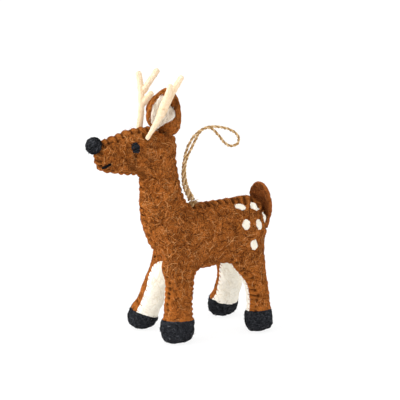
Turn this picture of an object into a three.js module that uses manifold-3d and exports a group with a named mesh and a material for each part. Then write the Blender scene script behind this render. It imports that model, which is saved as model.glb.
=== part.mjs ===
import * as THREE from "three";
import { mergeVertices } from "three/addons/utils/BufferGeometryUtils.js";
import Module from "manifold-3d";

// Stuffed felt deer on a twine loop. Millimetres, +Z up, nose toward -X, left side toward -Y.

const wasm = await Module();
wasm.setup();

// Felt, twine and clearance
const feltThickness = 2;
const liningThickness = 1.2;
const spotThickness = 0.8;
const clearance = 0.3;

// Body
const chestX = -12;
const bodyLength = 55;
const backHeight = 60.3;
const bellyHeight = 31.5;
const bodyWidth = 24.6;
const chestCap = 9;
const rumpCap = 8;

// Neck and head
const neckX = -10.9;
const neckDepth = 18.4;
const neckWidth = 16;
const crownHeight = 100.4;
const jawHeight = 77.8;
const headLength = 41.3;
const headWidth = 16.4;
const muzzleDepth = 16.4;
const muzzleWidth = 11.6;

// Legs and hooves
const stanceWidth = 25.2;
const hipSpacing = 13.6;
const frontHipSetback = 11.6;
const hindHipSetback = 12.5;
const frontLegDepth = 13.4;
const hindLegDepth = 11.2;
const legWidth = 10.8;
const hoofHeight = 9.5;
const hoofFlare = 0.9;
const gussetWidth = 9;

// Ears, antlers, nose, eyes, mouth and tail
const earLength = 22.5;
const earWidth = 21;
const earCupRadius = 12;
const earRim = 2.1;
const antlerThickness = 3;
const beamLength = 29;
const noseDiameter = 8;
const eyeWidth = 4;
const eyeHeight = 5;
const eyeRise = 0.9;
const mouthThread = 1;
const tailLength = 22;
const tailWidth = 16.5;
const tailCupRadius = 11;
const tailCurl = 3.5;
const spotLength = 4.8;

// Hanging loop
const twineThickness = 1.1;
const knotDiameter = 3.4;

const forward = new THREE.Vector3(-1, 0, 0);
const sideways = new THREE.Vector3(0, 1, 0);
const vec = (x, y, z) => new THREE.Vector3(x, y, z);
const rad = THREE.MathUtils.degToRad;

function solid(geometry) {
  const bare = new THREE.BufferGeometry();
  bare.setAttribute("position", geometry.getAttribute("position").clone());
  if (geometry.index) bare.setIndex(geometry.index.clone());
  const merged = mergeVertices(bare, 1e-4);
  const vertProperties = new Float32Array(merged.getAttribute("position").array);
  const triVerts = new Uint32Array(merged.index.array);
  return new wasm.Manifold(new wasm.Mesh({ numProp: 3, vertProperties, triVerts }));
}

function geometryOf(manifold) {
  const mesh = manifold.simplify(0.02).getMesh();
  const geometry = new THREE.BufferGeometry();
  geometry.setAttribute("position", new THREE.BufferAttribute(new Float32Array(mesh.vertProperties), 3));
  geometry.setIndex(new THREE.BufferAttribute(new Uint32Array(mesh.triVerts), 1));
  const flat = geometry.toNonIndexed();
  flat.computeVertexNormals();
  return flat;
}

function join(solids) {
  return solids.reduce((sum, next) => sum.add(next));
}

function block(low, high, frame = new THREE.Matrix4()) {
  const size = high.clone().sub(low);
  const centre = high.clone().add(low).multiplyScalar(0.5);
  const box = new THREE.BoxGeometry(size.x, size.y, size.z);
  box.translate(centre.x, centre.y, centre.z);
  box.applyMatrix4(frame);
  return solid(box);
}

// Closed skin over a list of rings, with a point at each end
function skin(rings, startPoint, endPoint) {
  const sides = rings[0].length;
  const points = [...rings.flat(), startPoint, endPoint];
  const startIndex = rings.length * sides;
  const faces = [];
  for (let i = 0; i < rings.length - 1; i += 1) {
    for (let j = 0; j < sides; j += 1) {
      const next = (j + 1) % sides;
      const a = i * sides + j;
      const b = i * sides + next;
      const c = (i + 1) * sides + next;
      const d = (i + 1) * sides + j;
      faces.push(a, b, c, a, c, d);
    }
  }
  const last = (rings.length - 1) * sides;
  for (let j = 0; j < sides; j += 1) {
    const next = (j + 1) % sides;
    faces.push(startIndex, next, j);
    faces.push(startIndex + 1, last + j, last + next);
  }
  const geometry = new THREE.BufferGeometry().setFromPoints(points);
  geometry.setIndex(faces);
  return geometry;
}

// A stuffed form: sections along a spine, each half as deep and half as wide as its entry in halves
class StuffedForm {
  constructor({ spine, halves, startCap, endCap, sides = 20, steps = 7, capSteps = 3, pinch = 1.12 }) {
    this.spine = new THREE.CatmullRomCurve3(spine);
    this.halves = new THREE.CatmullRomCurve3(halves.map(([deep, wide]) => vec(deep, wide, 0)));
    this.length = this.spine.getLength();
    Object.assign(this, { startCap, endCap, sides, steps, capSteps, pinch });
  }

  section(distance, offset) {
    const along = THREE.MathUtils.clamp(distance, 0, this.length);
    const t = along / this.length;
    const tangent = this.spine.getTangent(t);
    const centre = this.spine.getPoint(t).addScaledVector(tangent, distance - along);
    const deepAxis = vec(0, 0, 0).crossVectors(sideways, tangent).normalize();
    const wideAxis = vec(0, 0, 0).crossVectors(tangent, deepAxis);
    const half = this.halves.getPoint(t);
    const scale = this.endScale(distance + offset, this.startCap + offset)
      * this.endScale(this.length + offset - distance, this.endCap + offset);
    return { centre, deepAxis, wideAxis, deep: (half.x + offset) * scale, wide: (half.y + offset) * scale };
  }

  endScale(fromEnd, cap) {
    return fromEnd >= cap ? 1 : Math.sqrt(Math.max(0, 1 - (1 - fromEnd / cap) ** 2));
  }

  ringPoint(section, angle) {
    const across = Math.sin(angle);
    const wide = section.wide * Math.sign(across) * Math.abs(across) ** this.pinch;
    return section.centre.clone()
      .addScaledVector(section.deepAxis, section.deep * Math.cos(angle))
      .addScaledVector(section.wideAxis, wide);
  }

  geometry(offset) {
    const start = this.startCap + offset;
    const end = this.endCap + offset;
    const stops = [];
    for (let i = 1; i <= this.capSteps; i += 1) {
      stops.push(-offset + start * (1 - Math.cos((i / this.capSteps) * Math.PI / 2)));
    }
    const middle = this.length + 2 * offset - start - end;
    for (let i = 1; i <= this.steps; i += 1) stops.push(-offset + start + middle * i / this.steps);
    for (let i = this.capSteps - 1; i >= 1; i -= 1) {
      stops.push(this.length + offset - end * (1 - Math.cos((i / this.capSteps) * Math.PI / 2)));
    }
    const rings = stops.map((stop) => {
      const section = this.section(stop, offset);
      const angles = Array.from({ length: this.sides }, (_, j) => 2 * Math.PI * j / this.sides);
      return angles.map((angle) => this.ringPoint(section, angle));
    });
    const startPoint = this.section(-offset, offset).centre;
    const endPoint = this.section(this.length + offset, offset).centre;
    return skin(rings, startPoint, endPoint);
  }

  solid(offset = 0) {
    return solid(this.geometry(offset));
  }

  // Point and outward normal on the form, at a share of its length and an angle round its section
  surface(share, angle, offset = 0) {
    const at = (s, a) => this.ringPoint(this.section(s * this.length, offset), a);
    const point = at(share, angle);
    const along = at(share + 0.01, angle).sub(at(share - 0.01, angle));
    const round = at(share, angle + 0.02).sub(at(share, angle - 0.02));
    return { point, normal: round.cross(along).normalize() };
  }
}

// Frame at a point with Z along an axis and X as near as possible to a given direction
function frameAt(origin, axis, toward) {
  const z = axis.clone().normalize();
  const x = toward.clone().addScaledVector(z, -toward.dot(z)).normalize();
  const y = vec(0, 0, 0).crossVectors(z, x);
  return new THREE.Matrix4().makeBasis(x, y, z).setPosition(origin);
}

const object = new THREE.Group();
object.name = "felt_deer_ornament";

const finishes = {
  brownFelt: { color: 0x94541f, roughness: 0.95 },
  darkFelt: { color: 0x6b3514, roughness: 0.95 },
  whiteFelt: { color: 0xefe6d2, roughness: 0.95 },
  creamFelt: { color: 0xf3dfb6, roughness: 0.95 },
  blackFelt: { color: 0x1d2024, roughness: 0.95 },
  blackThread: { color: 0x161c22, roughness: 0.7 },
  stuffing: { color: 0xf4f2ec, roughness: 1 },
  jute: { color: 0xbe965f, roughness: 0.9 },
};

function addPiece(name, shape, finish) {
  const geometry = shape.isBufferGeometry ? shape : geometryOf(shape);
  const material = new THREE.MeshStandardMaterial({ ...finishes[finish], metalness: 0 });
  const mesh = new THREE.Mesh(geometry, material);
  mesh.name = name;
  object.add(mesh);
  return mesh;
}

// Torso, neck and head
const bodyMid = (backHeight + bellyHeight) / 2;
const bodyHalf = (backHeight - bellyHeight) / 2;
const torso = new StuffedForm({
  spine: [
    vec(chestX + 0.8, 0, bodyMid - 0.3),
    vec(chestX + bodyLength * 0.35, 0, bodyMid),
    vec(chestX + bodyLength * 0.7, 0, bodyMid + 0.3),
    vec(chestX + bodyLength, 0, bodyMid + 1),
  ],
  halves: [
    [bodyHalf - 0.5, bodyWidth / 2 - 0.8],
    [bodyHalf, bodyWidth / 2],
    [bodyHalf - 0.2, bodyWidth / 2],
    [bodyHalf + 0.5, bodyWidth / 2 - 0.3],
  ],
  startCap: chestCap,
  endCap: rumpCap,
});

const headMid = (crownHeight + jawHeight) / 2;
const headHalf = (crownHeight - jawHeight) / 2;
const neck = new StuffedForm({
  spine: [
    vec(chestX + 9.6, 0, bodyMid - 8),
    vec(chestX + 7.3, 0, bodyMid + 1),
    vec(chestX + 5.4, 0, backHeight - 5.5),
    vec(chestX + 3.3, 0, backHeight + 2.7),
    vec(neckX + 1.2, 0, backHeight + 11.7),
    vec(neckX, 0, jawHeight + 4.2),
    vec(neckX, 0, headMid + 3),
  ],
  halves: [
    [neckDepth / 2 + 1, neckWidth / 2 + 2],
    [neckDepth / 2 + 1, neckWidth / 2 + 3],
    [neckDepth / 2 + 2.3, neckWidth / 2 + 2.2],
    [neckDepth / 2 + 1.7, neckWidth / 2 + 1.3],
    [neckDepth / 2 + 0.4, neckWidth / 2 + 0.4],
    [neckDepth / 2, neckWidth / 2],
    [neckDepth / 2 - 0.6, neckWidth / 2 - 0.2],
  ],
  startCap: 8,
  endCap: 7,
  steps: 8,
});

const napeX = neckX + neckDepth / 2 + 0.3;
const head = new StuffedForm({
  spine: [
    vec(napeX, 0, headMid - 0.5),
    vec(napeX - headLength * 0.2, 0, headMid - 0.3),
    vec(napeX - headLength * 0.42, 0, headMid),
    vec(napeX - headLength * 0.62, 0, headMid + 0.1),
    vec(napeX - headLength * 0.82, 0, headMid + 0.2),
    vec(napeX - headLength, 0, headMid + 0.9),
  ],
  halves: [
    [headHalf - 1.6, headWidth / 2 - 0.6],
    [headHalf - 0.8, headWidth / 2],
    [headHalf, headWidth / 2],
    [headHalf - 0.9, headWidth / 2 - 0.6],
    [muzzleDepth / 2, muzzleWidth / 2],
    [muzzleDepth / 2 - 1, muzzleWidth / 2 - 0.6],
  ],
  startCap: 8,
  endCap: 5.5,
});

// Legs: how far hip, thigh, knee and foot lie behind the hip line, as shares of the belly's height,
// the splay of the foot as a share of the stance, and the seam's place as a share of the leg's width
const frontHipX = chestX + frontHipSetback;
const hindHipX = chestX + bodyLength - hindHipSetback;
const legPlans = [
  {
    name: "left_front", side: -1, depth: frontLegDepth, hipX: frontHipX,
    behind: [-0.032, -0.063, -0.156, -0.184], splay: 0.032, seam: 0.139,
  },
  {
    name: "right_front", side: 1, depth: frontLegDepth - 1.8, hipX: frontHipX,
    behind: [0.032, 0.005, -0.17, -0.41], splay: 0.08, seam: 0.168,
  },
  {
    name: "left_hind", side: -1, depth: hindLegDepth, hipX: hindHipX,
    behind: [0, 0.016, 0.12, 0.158], splay: 0.032, seam: -0.074,
  },
  {
    name: "right_hind", side: 1, depth: hindLegDepth + 0.8, hipX: hindHipX,
    behind: [0, -0.016, 0.03, -0.02], splay: 0.18, seam: 0.15,
  },
];
const hipHeight = bodyMid - 1;
const thighHeight = bellyHeight + 2.5;
const kneeHeight = bellyHeight * 0.7;
const thighSpacing = hipSpacing + (stanceWidth - hipSpacing) * 0.36;
const kneeSpacing = hipSpacing + (stanceWidth - hipSpacing) * 0.68;

const legs = legPlans.map((plan) => {
  const [hipX, thighX, kneeX, footX] = plan.behind.map((share) => plan.hipX + share * bellyHeight);
  const hip = vec(hipX, plan.side * hipSpacing / 2, hipHeight);
  const thigh = vec(thighX, plan.side * thighSpacing / 2, thighHeight);
  const knee = vec(kneeX, plan.side * kneeSpacing / 2, kneeHeight);
  const foot = vec(footX, plan.side * stanceWidth * (0.5 + plan.splay), 0);
  const axis = knee.clone().sub(foot).normalize();
  const form = new StuffedForm({
    spine: [hip, thigh, knee, foot.clone().addScaledVector(axis, hoofHeight), foot],
    halves: [
      [plan.depth / 2 + 4, legWidth / 2],
      [plan.depth / 2 + 3.2, legWidth / 2 + 0.2],
      [plan.depth / 2, legWidth / 2 - 0.1],
      [plan.depth / 2, legWidth / 2 - 0.2],
      [plan.depth / 2, legWidth / 2 - 0.2],
    ],
    startCap: 8,
    endCap: 3.5,
    sides: 16,
    steps: 6,
  });
  const rimFrame = frameAt(foot, axis, forward);
  const hoofForm = new StuffedForm({
    spine: [
      foot.clone().addScaledVector(axis, hoofHeight + 4),
      foot.clone().addScaledVector(axis, hoofHeight * 0.45).addScaledVector(forward, 0.8),
      foot.clone().add(vec(0, 0, -0.6)),
    ],
    halves: [
      [plan.depth / 2 + hoofFlare, legWidth / 2 + hoofFlare],
      [plan.depth / 2 + hoofFlare + 0.3, legWidth / 2 + hoofFlare + 0.3],
      [plan.depth / 2 + hoofFlare - 0.6, legWidth / 2 + hoofFlare - 0.6],
    ],
    startCap: 2,
    endCap: 4,
    sides: 16,
    steps: 3,
    capSteps: 2,
    pinch: 1,
  });
  return { ...plan, form, hoofForm, rimFrame };
});

// Blocks that reach past every form
const reach = crownHeight + bodyLength;
const aboveFloor = (level) => block(vec(-reach, -reach, level), vec(reach, reach, reach));
function rimBlock(leg, low, high) {
  const deep = leg.depth / 2 + legWidth * 0.7;
  return block(vec(-deep, -legWidth, low), vec(deep, legWidth, high), leg.rimFrame);
}

// Felt skin between the outer and inner forms, cut into two side panels and a gusset
const forms = [torso, neck, head, ...legs.map((leg) => leg.form)];
const outerBody = join(forms.map((form) => form.solid()));
const innerBody = join(forms.map((form) => form.solid(-feltThickness)));
const belowRims = join(legs.map((leg) => rimBlock(leg, -hoofHeight, hoofHeight + clearance)));
const feltSkin = outerBody.subtract(innerBody).subtract(belowRims);

const gussetTop = bellyHeight + 5;
function gussetZone(grow) {
  const half = gussetWidth / 2 + grow;
  const belly = block(vec(-reach, -half, 0), vec(reach, half, gussetTop + grow));
  const inner = legs.map((leg) => {
    const near = leg.side * (leg.seam * legWidth - grow);
    const far = leg.side * legWidth * 1.5;
    const deep = leg.depth / 2 + legWidth * 0.5 + grow;
    const low = vec(-deep, Math.min(near, far), 0);
    const high = vec(deep, Math.max(near, far), gussetTop + grow);
    return block(low, high, leg.rimFrame);
  });
  return join([belly, ...inner]);
}

// Loop knot seated in a pocket in the back seam
const loopSeat = torso.surface(0.324, Math.PI).point;
const knotBall = (grow) => {
  const ball = new THREE.SphereGeometry(knotDiameter / 2 + grow, 12, 8);
  ball.rotateX(Math.PI / 2);
  return solid(ball.translate(loopSeat.x, loopSeat.y, loopSeat.z));
};

const cutZone = gussetZone(clearance);
const knotPocket = knotBall(clearance);
for (const [name, side] of [["left", -1], ["right", 1]]) {
  const near = side * clearance / 2;
  const far = side * reach;
  const half = block(vec(-reach, Math.min(near, far), -reach), vec(reach, Math.max(near, far), reach));
  const panel = feltSkin.intersect(half).subtract(cutZone).subtract(knotPocket);
  addPiece(`${name}_side_panel`, panel, "brownFelt");
}
addPiece("belly_gusset", feltSkin.intersect(gussetZone(0)), "whiteFelt");

// Stuffing, each mass cut back from the larger one it meets
const fill = -feltThickness - clearance;
const torsoRoom = torso.solid(-feltThickness);
const headRoom = head.solid(-feltThickness);
addPiece("torso_stuffing", torso.solid(fill), "stuffing");
addPiece("head_stuffing", head.solid(fill), "stuffing");
addPiece("neck_stuffing", neck.solid(fill).subtract(torsoRoom).subtract(headRoom), "stuffing");
for (const leg of legs) {
  const belowRim = rimBlock(leg, -hoofHeight, hoofHeight);
  const aboveRim = rimBlock(leg, hoofHeight, reach);
  const hoof = leg.hoofForm.solid().intersect(belowRim).intersect(aboveFloor(0));
  const cavity = leg.hoofForm.solid(-feltThickness).intersect(aboveFloor(feltThickness));
  const inHoof = leg.hoofForm.solid(fill).intersect(aboveFloor(feltThickness + clearance));
  const stuffed = leg.form.solid(fill).subtract(torsoRoom).intersect(join([inHoof, aboveRim]));
  addPiece(`${leg.name}_leg_stuffing`, stuffed, "stuffing");
  addPiece(`${leg.name}_hoof`, hoof.subtract(cavity), "blackFelt");
}

// Cupped leaf of felt, standing on its base with the hollow toward +X: its stations are shares of length and
// width, and curl says how far a height stands toward the hollow
const earShape = new THREE.CatmullRomCurve3([
  vec(0, 0.42, 0), vec(0.18, 0.8, 0), vec(0.45, 1, 0), vec(0.7, 0.86, 0), vec(0.9, 0.5, 0), vec(1, 0.16, 0),
]);
const tailShape = new THREE.CatmullRomCurve3([
  vec(0, 0.34, 0), vec(0.2, 0.52, 0), vec(0.45, 0.82, 0),
  vec(0.68, 1, 0), vec(0.88, 0.74, 0), vec(1, 0.26, 0),
]);
function leaf({ shape, length, width, cup, curl, base, level, thickness }) {
  const across = 6;
  const along = 8;
  const place = (i, j, rise) => {
    const station = shape.getPoint(j / along);
    const radius = cup - rise;
    const arc = width * station.y * (i / across - 0.5) / cup;
    const height = base + length * station.x;
    return vec(cup - radius * Math.cos(arc) + curl(height), radius * Math.sin(arc), height);
  };
  const rings = [];
  for (let j = 0; j <= along; j += 1) {
    const ring = [];
    for (let i = 0; i <= across; i += 1) ring.push(place(i, j, level));
    for (let i = across; i >= 0; i -= 1) ring.push(place(i, j, level + thickness));
    rings.push(ring.reverse());
  }
  const middle = (ring) => ring.reduce((sum, p) => sum.add(p), vec(0, 0, 0)).divideScalar(ring.length);
  return skin(rings, middle(rings[0]), middle(rings[along]));
}

// Ears stand on the head: seat, lean outward and back, and turn of the hollow from straight ahead
const earPlans = [
  { name: "left", side: -1, share: 0.188, angle: 27, outward: 6, back: 1, turn: 44 },
  { name: "right", side: 1, share: 0.16, angle: 40, outward: 47, back: 40, turn: 62 },
];
const headSkin = head.solid(clearance);
for (const ear of earPlans) {
  const seat = head.surface(ear.share, ear.side * rad(ear.angle)).point;
  const axis = vec(Math.tan(rad(ear.back)), ear.side * Math.tan(rad(ear.outward)), 1);
  const facing = vec(-Math.cos(rad(ear.turn)), ear.side * Math.sin(rad(ear.turn)), 0);
  const frame = frameAt(seat, axis, facing);
  const curl = (height) => -1.6 * (2 * height / earLength - 1) ** 2;
  const form = { shape: earShape, cup: earCupRadius, curl };
  const outer = leaf({
    ...form, length: earLength, width: earWidth, base: -1.5, level: 0, thickness: feltThickness,
  });
  const lining = leaf({
    ...form, length: earLength - 2 * earRim, width: earWidth - 2 * earRim, base: earRim - 0.6,
    level: feltThickness + clearance, thickness: liningThickness,
  });
  addPiece(`${ear.name}_ear`, solid(outer.applyMatrix4(frame)).subtract(headSkin), "brownFelt");
  addPiece(`${ear.name}_ear_lining`, solid(lining.applyMatrix4(frame)).subtract(headSkin), "whiteFelt");
}

// Rolled felt antlers: a beam on the head, two tines on the beam, laid out in shares of the beam's length
function roll(points, thickness) {
  const radii = points.map((_, i) => thickness / 2 * (1 - 0.1 * i / points.length));
  return new StuffedForm({
    spine: points,
    halves: radii.map((radius) => [radius, radius]),
    startCap: thickness / 2,
    endCap: 1,
    sides: 8,
    steps: 5,
    capSteps: 2,
    pinch: 1,
  });
}
const antlerPlans = [
  {
    name: "left", side: -1, top: vec(0.19, 0.352, 0.94), upper: vec(0.28, 0.028, 0.44),
    lower: vec(-0.076, 0.193, 0.103),
  },
  {
    name: "right", side: 1, top: vec(0.13, 0.352, 0.872), upper: vec(0.275, -0.028, 0.375),
    lower: vec(0.169, -0.048, 0.221),
  },
];
for (const antler of antlerPlans) {
  const outward = (x, y, z) => vec(x, antler.side * y, z).multiplyScalar(beamLength);
  const base = head.surface(0.37, antler.side * rad(47)).point;
  const lean = outward(antler.top.x, antler.top.y, antler.top.z);
  const at = (share) => base.clone().addScaledVector(lean, share)
    .add(outward(0.05 * Math.sin(Math.PI * share), 0, 0));
  const beam = roll([at(-0.07), at(0.33), at(0.66), at(1)], antlerThickness);
  const beamRoom = roll([at(-0.1), at(0.33), at(0.66), at(1.05)], antlerThickness + 2 * clearance).solid();
  addPiece(`${antler.name}_antler_beam`, beam.solid().subtract(headSkin), "creamFelt");
  const upperEnd = at(0.62).add(outward(antler.upper.x, antler.upper.y, antler.upper.z));
  const upper = roll([at(0.6), at(0.62).lerp(upperEnd, 0.5), upperEnd], antlerThickness);
  addPiece(`${antler.name}_antler_upper_tine`, upper.solid().subtract(beamRoom), "creamFelt");
  const lowerEnd = at(0.42).add(outward(antler.lower.x, antler.lower.y, antler.lower.z));
  const lower = roll([at(0.41), at(0.42).lerp(lowerEnd, 0.5), lowerEnd], antlerThickness);
  addPiece(`${antler.name}_antler_lower_tine`, lower.solid().subtract(beamRoom), "creamFelt");
}

// Nose ball sewn to the top of the muzzle end
const noseSeat = head.surface(0.978, 0);
const noseBall = new THREE.SphereGeometry(noseDiameter / 2, 16, 10);
const noseCentre = noseSeat.point.clone().addScaledVector(noseSeat.normal, noseDiameter * 0.18);
noseBall.translate(noseCentre.x, noseCentre.y, noseCentre.z);
addPiece("nose", solid(noseBall).subtract(headSkin), "blackFelt");

// Satin-stitched eyes, domed over the head
for (const [name, side] of [["left", -1], ["right", 1]]) {
  const seat = head.surface(0.565, side * rad(67));
  const dome = new THREE.SphereGeometry(1, 12, 6);
  dome.scale(eyeHeight / 2, eyeWidth / 2, eyeRise + clearance);
  dome.applyMatrix4(frameAt(seat.point, seat.normal, vec(-0.2, 0, 1)));
  addPiece(`${name}_eye`, solid(dome).subtract(headSkin), "blackThread");
}

// Mouth thread round the muzzle
const mouthLift = clearance + mouthThread / 2;
const mouthStops = [
  [0.85, -102], [0.885, -118], [0.92, -142], [0.935, 180], [0.92, 142], [0.885, 118], [0.85, 102],
];
const mouthPath = new THREE.CatmullRomCurve3(
  mouthStops.map(([share, angle]) => head.surface(share, rad(angle), mouthLift).point),
);
function tube(path, thickness, steps) {
  const round = new THREE.Shape();
  round.absarc(0, 0, thickness / 2, 0, 2 * Math.PI);
  const sweep = { steps, curveSegments: 4, bevelEnabled: false, extrudePath: path };
  return new THREE.ExtrudeGeometry(round, sweep);
}
addPiece("mouth_thread", solid(tube(mouthPath, mouthThread, 20)).subtract(headSkin), "blackThread");

// Tail: a cupped leaf sewn to the rump at its base, its top curling forward, its hollow turned a little left
const tailTurn = rad(13);
const tailSeat = vec(chestX + bodyLength + clearance + feltThickness, 0, bodyMid);
const tailFrame = frameAt(tailSeat, vec(0, 0, 1), vec(-Math.cos(tailTurn), -Math.sin(tailTurn), 0));
const tail = leaf({
  shape: tailShape, length: tailLength, width: tailWidth, cup: tailCupRadius, base: -1.5, level: 0,
  curl: (height) => tailCurl * Math.max(0, height / tailLength) ** 2, thickness: feltThickness,
});
addPiece("tail", solid(tail.applyMatrix4(tailFrame)).subtract(torso.solid(clearance)), "darkFelt");

// White felt spots on both sides of the rump: share of body length, angle from belly, length and width
// as shares of the spot length, and tilt
const spotPlans = [
  { share: 0.707, angle: 146, long: 1.08, broad: 0.75, tilt: 20 },
  { share: 0.85, angle: 141, long: 0.96, broad: 0.83, tilt: -30 },
  { share: 0.955, angle: 117, long: 1, broad: 0.75, tilt: 10 },
  { share: 0.719, angle: 108, long: 0.96, broad: 0.79, tilt: 15 },
  { share: 0.859, angle: 102, long: 0.96, broad: 0.75, tilt: -10 },
  { share: 0.779, angle: 70, long: 1.02, broad: 0.79, tilt: 5 },
];
const spotCarriers = [torso, ...legs.map((leg) => leg.form)];
const spotUnder = join(spotCarriers.map((form) => form.solid(clearance)));
const spotOver = join(spotCarriers.map((form) => form.solid(clearance + spotThickness)));
const spotLayer = spotOver.subtract(spotUnder);
for (const [name, side] of [["left", -1], ["right", 1]]) {
  spotPlans.forEach((spot, index) => {
    const seat = torso.surface(spot.share, side * rad(spot.angle));
    const plug = new THREE.CylinderGeometry(0.5, 0.5, 7, 12);
    plug.rotateX(Math.PI / 2);
    plug.scale(spot.broad * spotLength, spot.long * spotLength, 1);
    plug.rotateZ(side * rad(spot.tilt));
    plug.applyMatrix4(frameAt(seat.point, seat.normal, vec(1, 0, 0)));
    addPiece(`${name}_spot_${index + 1}`, spotLayer.intersect(solid(plug)), "whiteFelt");
  });
}

// Hanging loop: twine from the knot, up and over to the eye and back; points from the knot's middle
const loopPoints = [
  vec(-0.75, 0.2, 2.1), vec(-1.05, 0.3, 3.7), vec(-2, 0.4, 5.7), vec(-3.4, 0.2, 8.6), vec(-4.3, -0.2, 12.2),
  vec(-4.3, -0.8, 16), vec(-3.5, -0.9, 20.2), vec(-2.3, -0.9, 24), vec(0.2, -0.8, 27.9), vec(3, -0.8, 31),
  vec(6.2, -0.8, 33.4), vec(10, -0.8, 34.8), vec(14.2, -0.4, 35), vec(18.4, 0, 33.6), vec(22.2, 0.2, 31.2),
  vec(24.5, 0.3, 28.8), vec(25, 0.4, 26.3), vec(23.6, 0.5, 24.4), vec(21.2, 0.6, 24), vec(18.6, 0.8, 25.6),
  vec(15.6, 0.8, 28.9),
  vec(12.6, 0.8, 32), vec(9.2, 0.8, 32.8), vec(5.6, 0.8, 31.2), vec(2.4, 0.8, 28.6), vec(0.1, 0.8, 25.7),
  vec(-1.7, 0.9, 22.4), vec(-2.9, 0.9, 19), vec(-3, 0.8, 15.6), vec(-2.6, 0.3, 12.2), vec(-1.4, 0, 8.8),
  vec(0.1, -0.2, 5.7), vec(0.7, -0.3, 3.8), vec(0.75, -0.2, 2.1),
];
const loopPath = new THREE.CatmullRomCurve3(loopPoints.map((point) => point.clone().add(loopSeat)));
addPiece("loop_knot", knotBall(0), "jute");
addPiece("hanging_loop", tube(loopPath, twineThickness, 72), "jute");

// Origin under the middle of the deer
const box = new THREE.Box3();
for (const mesh of object.children) {
  if (mesh.name !== "hanging_loop" && mesh.name !== "loop_knot") box.expandByObject(mesh);
}
const middle = box.getCenter(vec(0, 0, 0));
for (const mesh of object.children) mesh.geometry.translate(-middle.x, -middle.y, -box.min.z);

export default object;
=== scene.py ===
import bpy
import bmesh
import math
import numpy as np
from mathutils import Matrix, Vector, noise
from mathutils.bvhtree import BVHTree
from mathutils.kdtree import KDTree


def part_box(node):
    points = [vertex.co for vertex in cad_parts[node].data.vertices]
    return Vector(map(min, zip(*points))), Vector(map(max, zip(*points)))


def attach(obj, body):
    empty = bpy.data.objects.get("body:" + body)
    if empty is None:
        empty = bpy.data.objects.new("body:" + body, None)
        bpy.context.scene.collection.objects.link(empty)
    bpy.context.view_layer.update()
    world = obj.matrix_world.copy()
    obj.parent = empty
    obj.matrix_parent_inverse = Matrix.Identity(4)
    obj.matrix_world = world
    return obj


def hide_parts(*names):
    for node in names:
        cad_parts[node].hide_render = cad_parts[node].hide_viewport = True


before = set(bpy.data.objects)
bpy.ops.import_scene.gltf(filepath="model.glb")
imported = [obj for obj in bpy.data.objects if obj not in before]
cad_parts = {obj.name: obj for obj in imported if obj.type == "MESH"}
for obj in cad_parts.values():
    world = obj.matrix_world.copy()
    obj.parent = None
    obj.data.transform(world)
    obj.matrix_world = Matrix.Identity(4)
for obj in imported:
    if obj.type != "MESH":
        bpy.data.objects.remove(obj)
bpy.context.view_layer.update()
scene = bpy.context.scene
scene.view_settings.view_transform = "Standard"
mm = 0.001
white = (1, 1, 1, 1)
rng = np.random.default_rng(7)
print("frame loaded with", len(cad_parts), "nodes")


# helpers for objects, shader nodes and settings
def linked(name, data):
    thing = bpy.data.objects.new(name, data)
    scene.collection.objects.link(thing)
    return thing


def addNode(tree, kind, inputs=(), **settings):
    # inputs are numbers, colours or the outputs of other nodes
    node = tree.nodes.new("ShaderNode" + kind)
    for key, value in settings.items():
        setattr(node, key, value)
    for key, value in dict(inputs).items():
        if isinstance(value, bpy.types.NodeSocket):
            tree.links.new(value, node.inputs[key])
        else:
            node.inputs[key].default_value = value
    return node


def mathNode(tree, operation, first, second=0.0):
    return addNode(tree, "Math", {0: first, 1: second}, operation=operation).outputs[0]


def table(keys, rows):
    return {name: dict(zip(keys, row)) for name, row in rows.items()}


def boxMiddle(name):
    low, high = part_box(name)
    return (low + high) / 2


# camera at the photograph's angle, in metres
viewSettings = {
    "azimuth": -26, "elevation": 17, "distance": 6,
    "target": Vector((0.0176, 0.01096, 0.05744)),
    "frameWidth": 0.1834, "sensor": 36,
}


def viewAxes():
    turn = math.radians(viewSettings["azimuth"])
    tilt = math.radians(viewSettings["elevation"])
    back = Vector((math.sin(turn) * math.cos(tilt), -math.cos(turn) * math.cos(tilt), math.sin(tilt)))
    right = Vector((math.cos(turn), math.sin(turn), 0))
    return back, right, back.cross(right)


viewBack, viewRight, viewUp = viewAxes()


def addCamera():
    data = bpy.data.cameras.new("photoCamera")
    data.sensor_width = viewSettings["sensor"]
    data.lens = viewSettings["sensor"] * viewSettings["distance"] / viewSettings["frameWidth"]
    camera = linked("photoCamera", data)
    camera.location = viewSettings["target"] + viewBack * viewSettings["distance"]
    camera.rotation_euler = Matrix((viewRight, viewUp, viewBack)).transposed().to_euler()
    scene.camera = camera


# light: a large soft lamp from the upper left, others from the left and the right, an even white room
lightSettings = {
    # way to each lamp (right, up and toward the camera), its power and size
    "lamps": {
        "keyLamp": ((-0.75, 0.75, 0.3), 8.4, 1.1),
        "sideLamp": ((-0.9, 0.05, 0.4), 10.5, 1.2),
        "rimLamp": ((0.9, 0.3, -0.1), 2.8, 1.2),
    },
    "lampDistance": 1.3, "roomStrength": 0.93, "floorHalf": 4, "floorDrop": 0.0001,
    "floorGrey": (0.95, 0.95, 0.95, 1), "floorGlow": 0.84, "floorWhite": 1.04,
}


def addLamp(name, aim, power, size):
    data = bpy.data.lights.new(name, "AREA")
    data.energy = power
    data.size = size
    lamp = linked(name, data)
    direction = (viewRight * aim[0] + viewUp * aim[1] + viewBack * aim[2]).normalized()
    lamp.location = viewSettings["target"] + direction * lightSettings["lampDistance"]
    lamp.rotation_euler = direction.to_track_quat("Z", "Y").to_euler()


def seenShare(tree):
    # 1 for what the camera sees straight, in gloss or through glass
    path = addNode(tree, "LightPath").outputs
    seen = mathNode(tree, "MAXIMUM", path["Is Camera Ray"], path["Is Glossy Ray"])
    return mathNode(tree, "MAXIMUM", seen, path["Is Transmission Ray"])


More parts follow.
